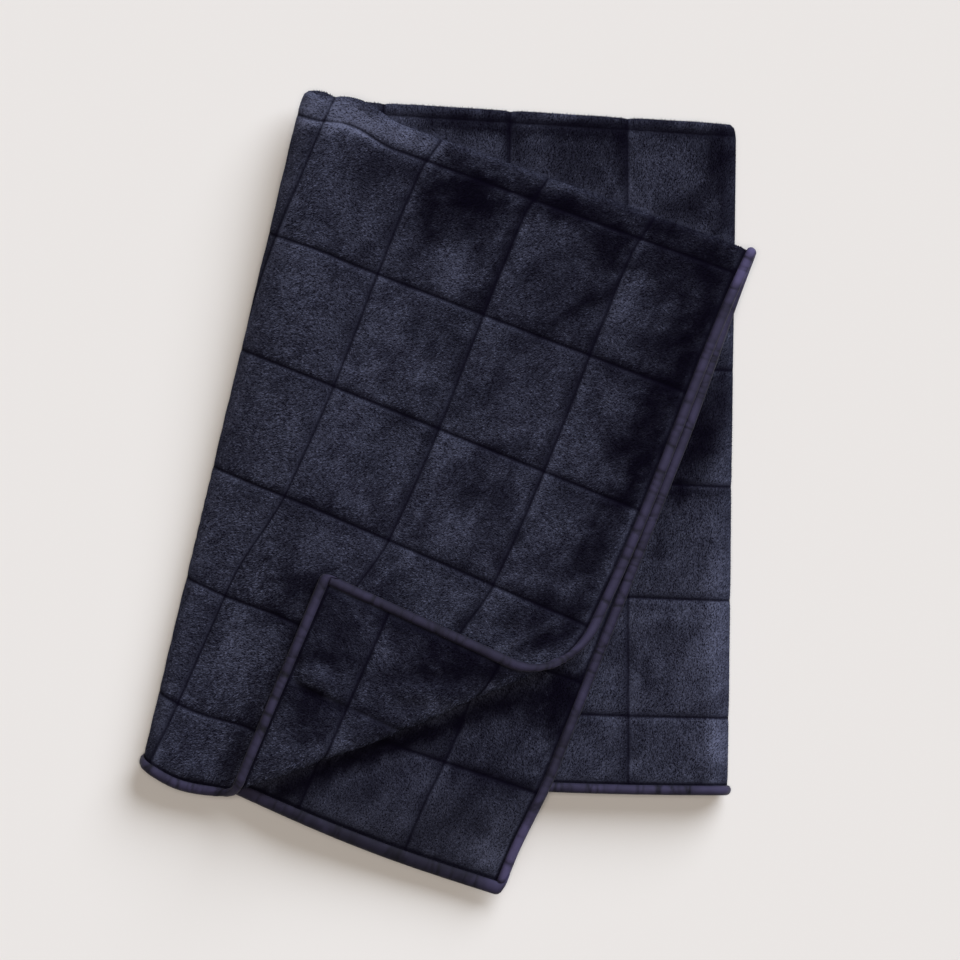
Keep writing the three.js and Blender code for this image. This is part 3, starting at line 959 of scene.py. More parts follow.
    def half_thickness(self, u: Array, row: Array) -> Array:
        """Half the cloth's thickness without its pile, with soft lumps in the padding.

        Args:
            u: flat places across the sheet.
            row: flat places along the sheet.

        Returns:
            Half the thickness at each place.
        """
        full = self.fullness(self.column_lines, u) * self.fullness(self.row_lines, row)
        full = full * self.sheet.turn_squeeze(u, row)
        lumps = 1.0 + noise_sum(u, row, self.lumps)
        half = self.seam_half + (self.crown_half - self.seam_half) * full * lumps
        low, high = self.row_lines[0], self.row_lines[-1]
        inside = (u >= self.column_lines[0]) & (u <= self.column_lines[-1]) & (row >= low) & (row <= high)
        return np.where(inside, half, self.edge_half)

    def build(self) -> bpy.types.Object:
        """Builds the two faces and the rim. Each face is the mid surface moved out by half the thickness.

        Returns:
            The quilt's object.
        """
        sheet = self.sheet
        sides = (self.edge_in, sheet.width - self.edge_in)
        ends = (self.edge_in - sheet.back_length, sheet.front_length - self.edge_in)
        self.across = self.grid(self.column_lines, self.steps_across, sides)
        self.along = self.grid(self.row_lines, self.steps_along, ends)
        u, row = np.meshgrid(self.across, self.along, indexing="ij")
        middle, normal, self.zone = sheet.surface(u, row)
        half = self.half_thickness(u, row)[..., None]
        self.outer = middle + normal * half
        self.inner = middle - normal * half
        self.outer[..., 2] = np.maximum(self.outer[..., 2], 0.0)
        self.inner[..., 2] = np.maximum(self.inner[..., 2], 0.0)
        count_u, count_v = u.shape
        number = np.arange(count_u * count_v).reshape(count_u, count_v)
        a, b = number[:-1, :-1], number[1:, :-1]
        c, d = number[1:, 1:], number[:-1, 1:]
        quads = np.stack([a, b, c, d], -1).reshape(-1, 4)
        ring = np.concatenate([number[:-1, 0], number[-1, :-1], number[:0:-1, -1], number[0, :0:-1]])
        after = np.roll(ring, -1)
        total = number.size
        rim = np.stack([after, ring, ring + total, after + total], -1)
        faces = np.concatenate([quads, quads[:, ::-1] + total, rim])
        points = np.concatenate([self.outer.reshape(-1, 3), self.inner.reshape(-1, 3)])
        piece = mesh_piece("quilt", points, faces)
        tones = [self.tone(u, row, middle, self.zone, side).ravel() for side in (1, -1)]
        add_attribute(piece, "tone", np.concatenate(tones))
        add_map(piece, BAKE_MAP, self.bake_places(u, row, faces, total))
        return piece

    def bake_places(self, u: Array, row: Array, faces: Array, total: int) -> Array:
        """Map for textures: the outer face fills the left half, the inner face the right half.

        Args:
            u: flat places across the sheet.
            row: flat places along the sheet.
            faces: the quilt's faces.
            total: how many points one side has.

        Returns:
            A pair for each corner of each face.
        """
        across = u.ravel() / self.sheet.width
        along = (row.ravel() + self.sheet.back_length) / (self.sheet.back_length + self.sheet.front_length)
        margin = self.map_margin
        flat = margin + np.stack([(0.5 - 2.0 * margin) * across, (1.0 - 2.0 * margin) * along], -1)
        both = np.concatenate([flat, flat + np.array([0.5, 0.0])])
        places = both[faces]
        rim = faces.shape[0] - 2 * (len(self.across) + len(self.along) - 2)
        places[rim:] = both[faces[rim:] % total] + np.repeat([0.0, self.map_rim], 2)[:, None]
        return places

    def smudge(self, u: Array, row: Array, middle: Array, side: int) -> Array:
        """How smudged the pile is, 0 to 1: uneven dark spots that are fainter near the left fold.

        Args:
            u: flat places across the sheet.
            row: flat places along the sheet.
            middle: the same places folded into space.
            side: 1 for the outer face, -1 for the inner face.

        Returns:
            How smudged each place is.
        """
        spots = noise_sum(u, row * self.smudge_stretch, self.smudge_noise, side)
        calm = lerp(self.least_smudge, 1.0, smooth(self.sheet.from_left_fold(middle) / self.calm_reach))
        return calm * smooth((spots - self.smudge_from) / self.smudge_ramp)

    def painted_seam_shade(self, u: Array, row: Array, x: Array, zone: Array) -> Array:
        """Painted shade and highlight beside the seams: darker to the left of and above a line, lighter past
        it, with painted shade in its core.

        Args:
            u: flat places across the sheet.
            row: flat places along the sheet.
            x: places across, seen from above.
            zone: the zone of each place.

        Returns:
            The share at each place.
        """
        turned = np.where((zone == Zone.PANEL) | (zone == Zone.FLAP), -1.0, 1.0)
        on_back = np.where(zone == Zone.UNDER, -1.0, turned)
        lit = lerp(self.left_shade, 1.0, smooth((x - self.left_shade_from) / self.left_shade_reach))
        shaded = np.array(self.column_shares)[zone] * np.where(zone == Zone.FRONT, lit, 1.0)
        shaded = shaded * (1.0 + noise_sum(u, row, self.shade_noise))
        made = 1.0 + shaded * self.column_shade.beside(self.column_lines[1:-1], u, turned)
        made *= 1.0 + self.row_shade.beside(self.row_lines[1:-1], row, -on_back)
        cored = np.array(self.core_shares)[zone]
        made *= 1.0 - cored * self.column_shade.core(self.seam_gap(self.column_lines, u))
        is_faint = (zone == Zone.PANEL) & (row > self.panel_faint_above)
        cored = np.where(is_faint, self.panel_faint_core, 1.0)
        return made * (1.0 - cored * self.row_shade.core(self.seam_gap(self.row_lines, row)))

    def tone(self, u: Array, row: Array, middle: Array, zone: Array, side: int) -> Array:
        """Tone from 0 to 1: mottle, smudges, the seams' painted shade and highlight, a painted sheen on the
        left fold, and patches of painted light and brushing tone, multiplied together.

        Args:
            u: flat places across.
            row: flat places along.
            middle: the same places folded into space.
            zone: the zone of each place.
            side: 1 for the outer face, -1 for the inner face.

        Returns:
            One tone for each place.
        """
        x, y = middle[..., 0], middle[..., 1]
        made = self.plain_tone * (1.0 + noise_sum(u, row, self.mottle, side))
        made *= 1.0 - np.array(self.smudges)[zone] * self.smudge(u, row, middle, side)
        made *= self.painted_seam_shade(u, row, x, zone)
        # painted sheen highlight on the left fold
        made *= np.where((zone == Zone.OTHER) & (x < 0.0), 1.0 + self.left_fold_sheen, 1.0)
        ragged = BrushAndLightPatch.raggedness(x, y)
        for patch in self.patches:
            on_it = (zone == patch.zone) & (side == patch.side)
            made *= 1.0 + np.where(on_it, patch.tint(x, y, ragged), 0.0)
        made = self.plain_tone * (made / self.plain_tone) ** self.contrast
        return np.clip(made, 0.0, 1.0)

    def dress(self, piece: bpy.types.Object) -> None:
        """Gives the quilt its plush finish and ties it to the frame.

        Args:
            piece: the quilt's object.
        """
        piece.data.materials.append(self.finish.material())
        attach(piece, "root")
        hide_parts("quilted_blanket")


@dataclass
class Binding:
    """A woven strip folded round one edge: a rounded section carried along it, drawn in by gathers."""

    sheet: FoldedSheet
    node: str
    is_side: bool
    is_far: bool
    patches: tuple[BrushAndLightPatch, ...] = ()
    step: float = 1.45
    hidden_step: float = 6.0
    # half of the section's outside, as distance in from the edge by height, and the fold it ends in
    half_section: tuple[Pair, ...] = ((7.7, 1.2), (7.2, 2.2), (5.8, 3.3), (3.6, 3.8), (1.3, 3.1), (-0.3, 1.7))
    fold_tip: Pair = (-1.0, 0.0)
    lining_share: float = 0.45
    lining_most: float = 1.5
    lining_in: float = 1.3
    # how far past the cloth an end strip reaches, and how far short of the end strips a side strip stops
    end_past: float = 1.0
    side_gap: float = 0.6
    corner_radius: float = 7.0
    fold_reach: float = 14.0
    fold_stations: int = 36
    # gathers: their pitch along the strip, depth, and the ranges that each one is drawn from
    first_seed: int = 50
    gather_pitch: float = 4.2
    gather_depth: float = 0.6
    gather_depths: Pair = (0.15, 1.0)
    gather_widths: Pair = (0.7, 1.5)
    gather_slant: float = 0.3
    wave: float = 12.0
    ripple: float = 5.0
    ripple_share: float = 0.6
    ripple_seed: int = 9
    ripple_stretch: float = 2.0
    wave_height: float = 0.15
    floor_gap: float = 0.2
    # tone: the plain one; how much the waves lighten it where the strip bulges and the gathers and both lips
    # darken it, as painted highlight and shade; and the strip's middle
    plain_tone: float = 0.35
    bulge_highlight: float = 0.25
    gather_shade: float = -0.8
    lip_shade: float = -0.45
    middle_in: float = 4.0
    lip_reach: float = 4.5
    map_rows: int = 12
    map_margin: float = 0.05

    @property
    def seed(self) -> int:
        """Seed of the strip's own random draws."""
        return self.first_seed + 2 * self.is_side + self.is_far

    def section(self) -> Array:
        """The strip's closed section, as distance in from the edge by height.

        The first half of the points runs outside from lip to lip, and the second half comes back inside.

        Returns:
            The section's corners in order.
        """
        half = list(self.half_section)
        outside = np.array([*half, self.fold_tip, *((at, -height) for at, height in reversed(half))])
        lining = np.minimum(self.lining_share * np.abs(outside[:, 1]), self.lining_most)
        inside = np.stack([np.maximum(outside[:, 0], self.lining_in), np.sign(outside[:, 1]) * lining], -1)
        return np.concatenate([outside, inside[::-1]])

    def stations(self) -> Array:
        """Places along the edge, closer together round the top fold.

        Returns:
            The places in order.
        """
        sheet = self.sheet
        if not self.is_side:
            return np.linspace(-self.end_past, sheet.width + self.end_past, int(sheet.width / self.step))
        short = self.half_section[0][0] + self.side_gap
        low, high = short - sheet.back_length, sheet.front_length - short
        step = self.hidden_step if self.is_far else self.step
        plain = np.linspace(low, high, int((high - low) / step))
        return np.unique(np.r_[plain, np.linspace(-self.fold_reach, self.fold_reach, self.fold_stations)])

    def gathers(self, stations: Array, inset: Array, rng: np.random.Generator) -> Array:
        """How deep the strip is drawn in, 0 to 1: narrow slanted troughs across it at uneven places.

        Args:
            stations: places along the edge.
            inset: distances in from the edge, one for each corner of the section.
            rng: source of the random draws.

        Returns:
            The depth at each station and corner of the section.
        """
        count = int((stations[-1] - stations[0]) / self.gather_pitch)
        at = rng.uniform(stations[0], stations[-1], count)
        depth = rng.uniform(*self.gather_depths, count) ** 2
        width = rng.uniform(*self.gather_widths, count)
        slant = rng.normal(0.0, self.gather_slant, count)
        off = stations[:, None, None] + slant * inset[None, :, None] - at
        return np.minimum((depth * np.exp(-((off / width) ** 2))).sum(-1), 1.0)

    def flat_places(self, stations: Array, inset: Array) -> tuple[Array, Array]:
        """Flat coordinates u and row at stations along the edge and distances in from it.

        Args:
            stations: places along the edge.
            inset: distances in from the edge, one for each corner of the section.

        Returns:
            u and row at each station and corner of the section.
        """
        sheet = self.sheet
        at, into = np.broadcast_arrays(stations[:, None], inset[None, :])
        if self.is_side:
            return (sheet.width - into if self.is_far else into), at
        to_end = np.minimum(at - stations[0], stations[-1] - at)
        turned = np.clip(1.0 - to_end / self.corner_radius, 0.0, 1.0)
        into = into + self.corner_radius * (1.0 - np.sqrt(1.0 - turned**2))
        return at, (into - sheet.back_length if self.is_far else sheet.front_length - into)

    def waves(self, stations: Array, inset: Array) -> Array:
        """Uneven fullness: long waves along the strip, and short ripples that also change across it.

        Args:
            stations: places along the edge.
            inset: distances in from the edge, one for each corner of the section.

        Returns:
            The fullness at each station and corner of the section.
        """
        at, into = np.broadcast_arrays(stations[:, None], inset[None, :])
        ripples = value_noise(at, into * self.ripple_stretch, self.ripple, self.seed + self.ripple_seed)
        return value_noise(at, at * 0.0, self.wave, self.seed) + self.ripple_share * ripples

    def faces(self, rings: int, corners: int) -> Array:
        """Quads round the swept section, with both ends closed.

        Args:
            rings: how many stations there are.
            corners: how many corners the section has.

        Returns:
            The quads, one row each.
        """
        number = np.arange(rings * corners).reshape(rings, corners)
        nearby = np.roll(number, -1, axis=1)
        quads = np.stack([number[:-1], nearby[:-1], nearby[1:], number[1:]], -1).reshape(-1, 4)
        i = np.arange(corners // 2 - 1)
        cap = np.stack([i, corners - 1 - i, corners - 2 - i, i + 1], -1)
        quads = np.concatenate([quads, cap, cap[:, ::-1] + (rings - 1) * corners])
        return quads[:, ::-1] if self.is_side != self.is_far else quads

    def tone(self, inset: Array, waves: Array, drawn: Array, middle: Array, zone: Array) -> Array:
        """Tone from 0 to 1: painted shade in the gathers and at both lips, a painted highlight where the
        strip bulges, with patches.

        Args:
            inset: distances in from the edge, one for each corner of the section.
            waves: the strip's uneven fullness.
            drawn: how deep the gathers are.
            middle: places on the sheet's mid surface.
            zone: the zone of each place.

        Returns:
            One tone for each place.
        """
        made = self.plain_tone * (1.0 + self.bulge_highlight * waves + self.gather_shade * drawn)
        made *= 1.0 + self.lip_shade * ((inset[None, :] - self.middle_in) / self.lip_reach) ** 2
        x, y = middle[..., 0], middle[..., 1]
        ragged = BrushAndLightPatch.raggedness(x, y)
        for patch in self.patches:
            made *= 1.0 + np.where(zone == patch.zone, patch.tint(x, y, ragged), 0.0)
        return np.clip(made, 0.0, 1.0)

    def build(self) -> bpy.types.Object:
        """Sweeps the section along the edge, drawn in at the gathers, and closes both ends.

        Returns:
            The strip's object.
        """
        section, stations = self.section(), self.stations()
        inset, height = section.T
        u, row = self.flat_places(stations, inset)
        middle, normal, zone = self.sheet.surface(u, row)
        drawn = self.gathers(stations, inset, np.random.default_rng(self.seed))
        waves = self.waves(stations, inset)
        depth = self.gather_depth * drawn - self.wave_height * waves
        depth[:, len(section) // 2:] = 0.0
        points = middle + normal * (height - np.sign(height) * depth)[..., None]
        points[..., 2] = np.maximum(points[..., 2], self.floor_gap)
        quads = self.faces(*u.shape)
        piece = mesh_piece(self.node.replace("binding", "tape"), points.reshape(-1, 3), quads)
        add_attribute(piece, "tone", self.tone(inset, waves, drawn, middle, zone))
        around = np.cumsum(np.r_[0.0, np.hypot(*np.diff(section, axis=0).T)])
        along = np.broadcast_to(stations[:, None], u.shape).ravel()[quads]
        across = np.broadcast_to(around[None, :], u.shape).ravel()[quads]
        add_map(piece, TAPE_MAP, np.stack([along, across], -1) * MM)
        add_map(piece, BAKE_MAP, self.bake_places(along, across / around[-1]))
        return piece

    def bake_places(self, along: Array, across: Array) -> Array:
        """Map for textures: the strip cut into equal lengths, laid in rows above one another.

        Args:
            along: places along the strip, for each corner of each face.
            across: shares of the way round the section, in the same order.

        Returns:
            A pair for each corner of each face.
        """
        share = (along - along.min()) / (along.max() - along.min()) * self.map_rows
        map_row = np.minimum(np.floor(share.min(1, keepdims=True)), self.map_rows - 1)
        inside = self.map_margin + (1.0 - 2.0 * self.map_margin) * across
        return np.stack([share - map_row, (map_row + inside) / self.map_rows], -1)

    def dress(self, piece: bpy.types.Object, material: bpy.types.Material) -> None:
        """Gives the strip its woven finish and ties it to the frame.

        Args:
            piece: the strip's object.
            material: the woven finish's material.
        """
        piece.data.materials.append(material)
        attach(piece, "root")
        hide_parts(self.node)


@dataclass
class Pile:
    """Short pile: leaning spikes rooted on the faces of the quilt that can be seen."""

    quilt: Quilt
    finish: PlushFinish
    # roots: their pitch, how far in from the cloth's edges they start, and how far across they go
    pitch: float = 1.4
    edge_gap: float = 0.4
    u_end: float = 830.0
    first_seed: int = 70
    # which roots show: the size of a cell, how deep behind its front they may lie and how they face
    cell: float = 3.0
    slack: float = 4.6
    facing: float = 0.3
    front_split: float = 250.0
    # a spike's size: shorter beside seams, on steep cloth and on the folds
    length: float = 2.7
    lengths: Pair = (0.75, 1.2)
    root: float = 0.5
    sunk: float = 0.25
    seam_reach: float = 4.0
    seam_length: float = 0.12
    steep_length: float = 0.3
    steep_below: float = 0.8
    fold_shortening: float = 0.25
    # the way it leans, in degrees, and the swirl of that way in radians
    lean: float = 63.0
    lean_spread: float = 9.0
    fold_lean: float = 12.0
    brushed_ways: tuple[float, ...] = (12.0, 80.0, 75.0, 85.0, 20.0)
    swirl: float = 0.5
    swirl_noise: tuple[Noise, ...] = ((1.0, 38.0, 61), (0.6, 15.0, 62))
    turn_spread: float = 0.35
    spike_seed: int = 90
    # its tone: the spread from spike to spike and from tuft to tuft, and the shares at roots and tip, the
    # roots darker as painted shade among the fibres
    unevenness: float = 1.3
    tuft: float = 2.2
    tuft_seed: int = 63
    tuft_depth: float = 1.35
    tuft_stretch: tuple[float, ...] = (0.9, 0.5, 0.45, 0.35, 0.8)
    brightest: float = 1.35
    corner_tones: tuple[float, ...] = (0.34, 0.34, 0.34, 1.09)

    def roots(self, side: int) -> dict[str, Array]:
        """Roots on one face, on a jittered flat grid.

        Args:
            side: 1 for the outer face, -1 for the inner face.

        Returns:
            Flat places, points, normals, directions across, zones and the side, one row a root.
        """
        quilt, sheet = self.quilt, self.quilt.sheet
        rng = np.random.default_rng(self.first_seed + side)
        edge = quilt.stitch_in + self.edge_gap
        across = np.arange(edge, self.u_end, self.pitch)
        along = np.arange(edge - sheet.back_length, sheet.front_length - edge, self.pitch)
        u, row = (part.ravel() for part in np.meshgrid(across, along, indexing="ij"))
        u = np.clip(u + rng.uniform(-0.5, 0.5, u.size) * self.pitch, edge, None)
        row = row + rng.uniform(-0.5, 0.5, u.size) * self.pitch
        row = np.clip(row, edge - sheet.back_length, sheet.front_length - edge)
        i = np.clip(np.searchsorted(quilt.across, u) - 1, 0, len(quilt.across) - 2)
        j = np.clip(np.searchsorted(quilt.along, row) - 1, 0, len(quilt.along) - 2)
        s = ((u - quilt.across[i]) / np.diff(quilt.across)[i])[:, None]
        t = ((row - quilt.along[j]) / np.diff(quilt.along)[j])[:, None]
        face = quilt.outer if side > 0 else quilt.inner
        to_left = np.gradient(face, quilt.across, axis=0)
        to_foot = np.gradient(face, quilt.along, axis=1)

        def at(grid: Array) -> Array:
            """A grid's values blended over the square that each root lies in."""
            low = lerp(grid[i, j], grid[i + 1, j], s)
            return lerp(low, lerp(grid[i, j + 1], grid[i + 1, j + 1], s), t)

        ways = at(to_left), at(to_foot)
        return dict(u=u, row=row, point=at(face), normal=side * unit(np.cross(*ways)), across=unit(ways[0]),
                    zone=quilt.zone[i, j], side=np.full(u.size, side))

    def seen(self, points: Array, normals: Array) -> Array:
        """Which roots can be seen from above or from a side: those near the front of their own cell.

        Args:
            points: the roots.
            normals: the cloth's normals there.

        Returns:
            Whether each root can be seen.
        """
        found = np.zeros(len(points), bool)
        for axis, way in ((2, 1), (0, 1), (0, -1), (1, 1), (1, -1)):
            depth = way * points[:, axis]
            cells = np.floor(np.delete(points, axis, axis=1) / self.cell).astype(int)
            cells -= cells.min(0)
            key = cells[:, 0] * (cells[:, 1].max() + 1) + cells[:, 1]
            front = np.full(key.max() + 1, -np.inf)
            np.maximum.at(front, key, depth)
            found |= (depth > front[key] - self.slack) & (way * normals[:, axis] > self.facing)
        return found

    def build(self) -> list[bpy.types.Object]:
        """Builds the spikes, in pieces of bearable size that each cover a part of the blanket.

        Returns:
            The pile's objects.
        """
        faces = [self.roots(1), self.roots(-1)]
        every = {key: np.concatenate([face[key] for face in faces]) for key in faces[0]}
        shown = self.seen(every["point"], every["normal"])
        every = {key: values[shown] for key, values in every.items()}
        log.info("pile: %d spikes", shown.sum())
        zone, row = every["zone"], every["row"]
        every["tone"] = np.zeros(len(row))
        for side in (1, -1):
            on_side = every["side"] == side
            u, points = every["u"][on_side], every["point"][on_side]
            every["tone"][on_side] = self.quilt.tone(u, row[on_side], points, zone[on_side], side)
        parts = {
            "pile_front_upper": (zone == Zone.FRONT) & (row < self.front_split),
            "pile_front_lower": (zone == Zone.FRONT) & (row >= self.front_split),
            "pile_corner": (zone == Zone.FLAP) | (zone == Zone.UNDER),
            "pile_panel": (zone == Zone.PANEL),
            "pile_folds": (zone == Zone.OTHER),
        }
        return [self.spikes(name, {k: v[part] for k, v in every.items()}) for name, part in parts.items()]

    def spikes(self, name: str, at: dict[str, Array]) -> bpy.types.Object:
        """Leaning three-sided spikes, each a closed four-faced solid, as one mesh.

        A spike's axis leans from the normal towards the way the pile is combed, which swirls over the cloth.

        Args:
            name: the piece's name.
            at: the roots' values by name, one row a root.

        Returns:
            The piece's object.
        """
        rng = np.random.default_rng(self.spike_seed)
        points = self.spike_points(at, rng)
        count = len(points)
        base = 4 * np.arange(count)[:, None, None]
        faces = base + np.array([[0, 1, 3], [1, 2, 3], [2, 0, 3], [0, 2, 1]])[None]
        piece = mesh_piece(name, points.reshape(-1, 3), faces.reshape(-1, 3), is_smooth=False)
        stretch = np.array(self.tuft_stretch)[at["zone"]]
        tufts = value_noise(at["u"], at["row"] * stretch, self.tuft, self.tuft_seed)
        spread = self.tuft_depth * tufts + rng.normal(0.0, self.unevenness, count)
        tone = at["tone"] * np.exp(np.minimum(spread, self.brightest))
        add_attribute(piece, "tone", np.clip(tone[:, None] * np.array(self.corner_tones), 0.0, 1.0))
        add_map(piece, BAKE_MAP, self.bake_places(count))
        return piece

    def spike_points(self, at: dict[str, Array], rng: np.random.Generator) -> Array:
        """Four corners for each spike: three round its sunk root, evenly spaced, and the tip.

        Args:
            at: the roots' values by name, one row a root.
            rng: source of the random draws.

        Returns:
            The corners, four a spike.
        """
        u, row, normal, across = at["u"], at["row"], at["normal"], at["across"]
        count = len(u)
        turn = np.radians(np.array(self.brushed_ways))[at["zone"]]
        turn = turn + self.swirl * noise_sum(u, row, self.swirl_noise)
        turn = (turn + rng.normal(0.0, self.turn_spread, count))[:, None]
        along = np.cross(normal, across) * at["side"][:, None]
        ahead = across * np.cos(turn) + along * np.sin(turn)
        aside = np.cross(normal, ahead)
        on_fold = at["zone"] == Zone.OTHER
        lean = self.lean + self.fold_lean * on_fold + rng.normal(0.0, self.lean_spread, count)
        lean = np.radians(lean)[:, None]
        beside = self.quilt.seam_distance(u, row) / self.seam_reach
        length = self.length * np.clip(beside, self.seam_length, 1.0)
        length = length * lerp(self.steep_length, 1.0, smooth(normal[:, 2] / self.steep_below))
        length = length * (1.0 - self.fold_shortening * on_fold)
        length = (length * rng.uniform(*self.lengths, count))[:, None]
        sunk = at["point"] - normal * self.sunk
        tip = at["point"] + (normal * np.cos(lean) + ahead * np.sin(lean)) * length
        back = sunk - ahead * self.root
        left = sunk + (ahead * SIXTH_TURN[0] + aside * SIXTH_TURN[1]) * self.root
        right = sunk + (ahead * SIXTH_TURN[0] - aside * SIXTH_TURN[1]) * self.root
        points = np.stack([back, right, left, tip], 1)
        points[..., 2] = np.maximum(points[..., 2], 0.0)
        return points

    @staticmethod
    def bake_places(count: int) -> Array:
        """Map for textures: each spike has a small square of its own.

        Args:
            count: how many spikes there are.

        Returns:
            A pair for each corner of each face.
        """
        side = math.ceil(math.sqrt(count))
        corner = np.stack([np.arange(count) % side, np.arange(count) // side], -1)[:, None, None]
        face = np.array([[0.1, 0.1], [0.9, 0.1], [0.5, 0.9]])
        foot = np.array([[0.1, 0.1], [0.9, 0.1], [0.5, 0.3]])
        return (corner + np.stack([face, face, face, foot])[None]) / side

    def dress(self, pieces: list[bpy.types.Object]) -> None:
        """Gives the pile its finish and ties it to the frame.

        Args:
            pieces: the pile's objects.
        """
        material = self.finish.material()
        for piece in pieces:
            piece.data.materials.append(material)
            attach(piece, "root")


@dataclass
class Studio:
    """A pale floor, soft light from the upper right and a camera straight above."""

    floor_colour: Colour = (0.80, 0.768, 0.745)
    floor_roughness: float = 0.95
    floor_half: float = 6000.0
    floor_gap: float = 0.3
    view_centre: Pair = (28.35, 11.36)
    view_width: float = 840.6
    view_level: float = 40.0
    distance: float = 10.0
    sensor: float = 36.0
    clip_end: float = 100.0
    key_strength: float = 3.13
    key_colour: Colour = (0.93, 1.0, 1.09)
    key_spread: float = 44.0
    key_azimuth: float = 37.0
    key_elevation: float = 36.0
    fill_strength: float = 1.3
    fill_colour: Colour = (1.09, 1.0, 0.9)
    fill_spread: float = 16.0
    sky_strength: float = 0.035

    def build(self) -> None:
        """Makes the floor, the lights and the camera."""
        corners = self.floor_half * np.array([[-1, -1, 0], [1, -1, 0], [1, 1, 0], [-1, 1, 0]], float)
        floor = mesh_piece("floor", corners - np.array([0.0, 0.0, self.floor_gap]), np.array([[0, 1, 2, 3]]))
        paint, shader = new_material("Pale floor")
        set_inputs(shader, Base_Color=(*self.floor_colour, 1.0), Roughness=self.floor_roughness,
                   Specular_IOR_Level=0.0)
        floor.data.materials.append(paint)
        self.light()
        self.camera()

    def light(self) -> None:
        """A broad key from the upper right, a fill from straight above and a faint even sky."""
        key_turn = (math.radians(90.0 - self.key_elevation), 0.0, math.radians(180.0 - self.key_azimuth))
        for name, strength, colour, spread, turn in (
            ("soft_key", self.key_strength, self.key_colour, self.key_spread, key_turn),
            ("overhead_fill", self.fill_strength, self.fill_colour, self.fill_spread, (0.0, 0.0, 0.0)),
        ):
            light = bpy.data.lights.new(name, "SUN")
            light.energy = strength
            light.color = colour
            light.angle = math.radians(spread)
            lamp = bpy.data.objects.new(name, light)
            lamp.rotation_euler = turn
            bpy.context.scene.collection.objects.link(lamp)
        world = bpy.data.worlds.new("pale_room")
        world.use_nodes = True
        sky = world.node_tree.nodes["Background"]
        set_inputs(sky, Color=(1.0, 1.0, 1.0, 1.0), Strength=self.sky_strength)
        bpy.context.scene.world = world

    def camera(self) -> None:
        """A long lens looking straight down, with the top of the page towards +Y."""
        lens = bpy.data.cameras.new("above")
        lens.sensor_width = self.sensor
        lens.lens = self.sensor * self.distance / (self.view_width * MM)
        lens.clip_end = self.clip_end
        eye = bpy.data.objects.new("above", lens)
        x, y = self.view_centre
        eye.location = (x * MM, y * MM, self.distance + self.view_level * MM)
        bpy.context.scene.collection.objects.link(eye)
        bpy.context.scene.camera = eye


CREASES = (
    # beside the roll's open end
    Crease(Zone.FRONT, (41, -136), (98, -108), 7.0, 3.0),
    Crease(Zone.FRONT, (70, -147), (100, -130), 6.0, 3.0),
    Crease(Zone.FRONT, (63, -138), (109, -108), 4.0, -2.0),
    Crease(Zone.FRONT, (44, -119), (63, -119), 5.0, -2.5),
    # a pulled square near the top, and the bulge low on the left
    Crease(Zone.FRONT, (85, 146), (138, 177), 6.0, 1.8),
    Crease(Zone.FRONT, (98, 151), (155, 181), 5.0, -1.5),
    Crease(Zone.FRONT, (-234, -242), (-204, -242), 9.0, 2.0),
    # the turned-back corner
    Crease(Zone.FLAP, (-124, -157), (-99, -170), 8.0, 4.5),
    Crease(Zone.FLAP, (-129, -147), (-135, -163), 4.0, -2.5),
    Crease(Zone.FLAP, (-132, -169), (-90, -190), 5.0, -2.5),
    Crease(Zone.FLAP, (-55, -161), (28, -161), 6.0, -2.0),
    Crease(Zone.FLAP, (-37, -173), (20, -179), 6.0, 2.0),
    Crease(Zone.FLAP, (-50, -185), (-15, -184), 5.0, -2.0),
)

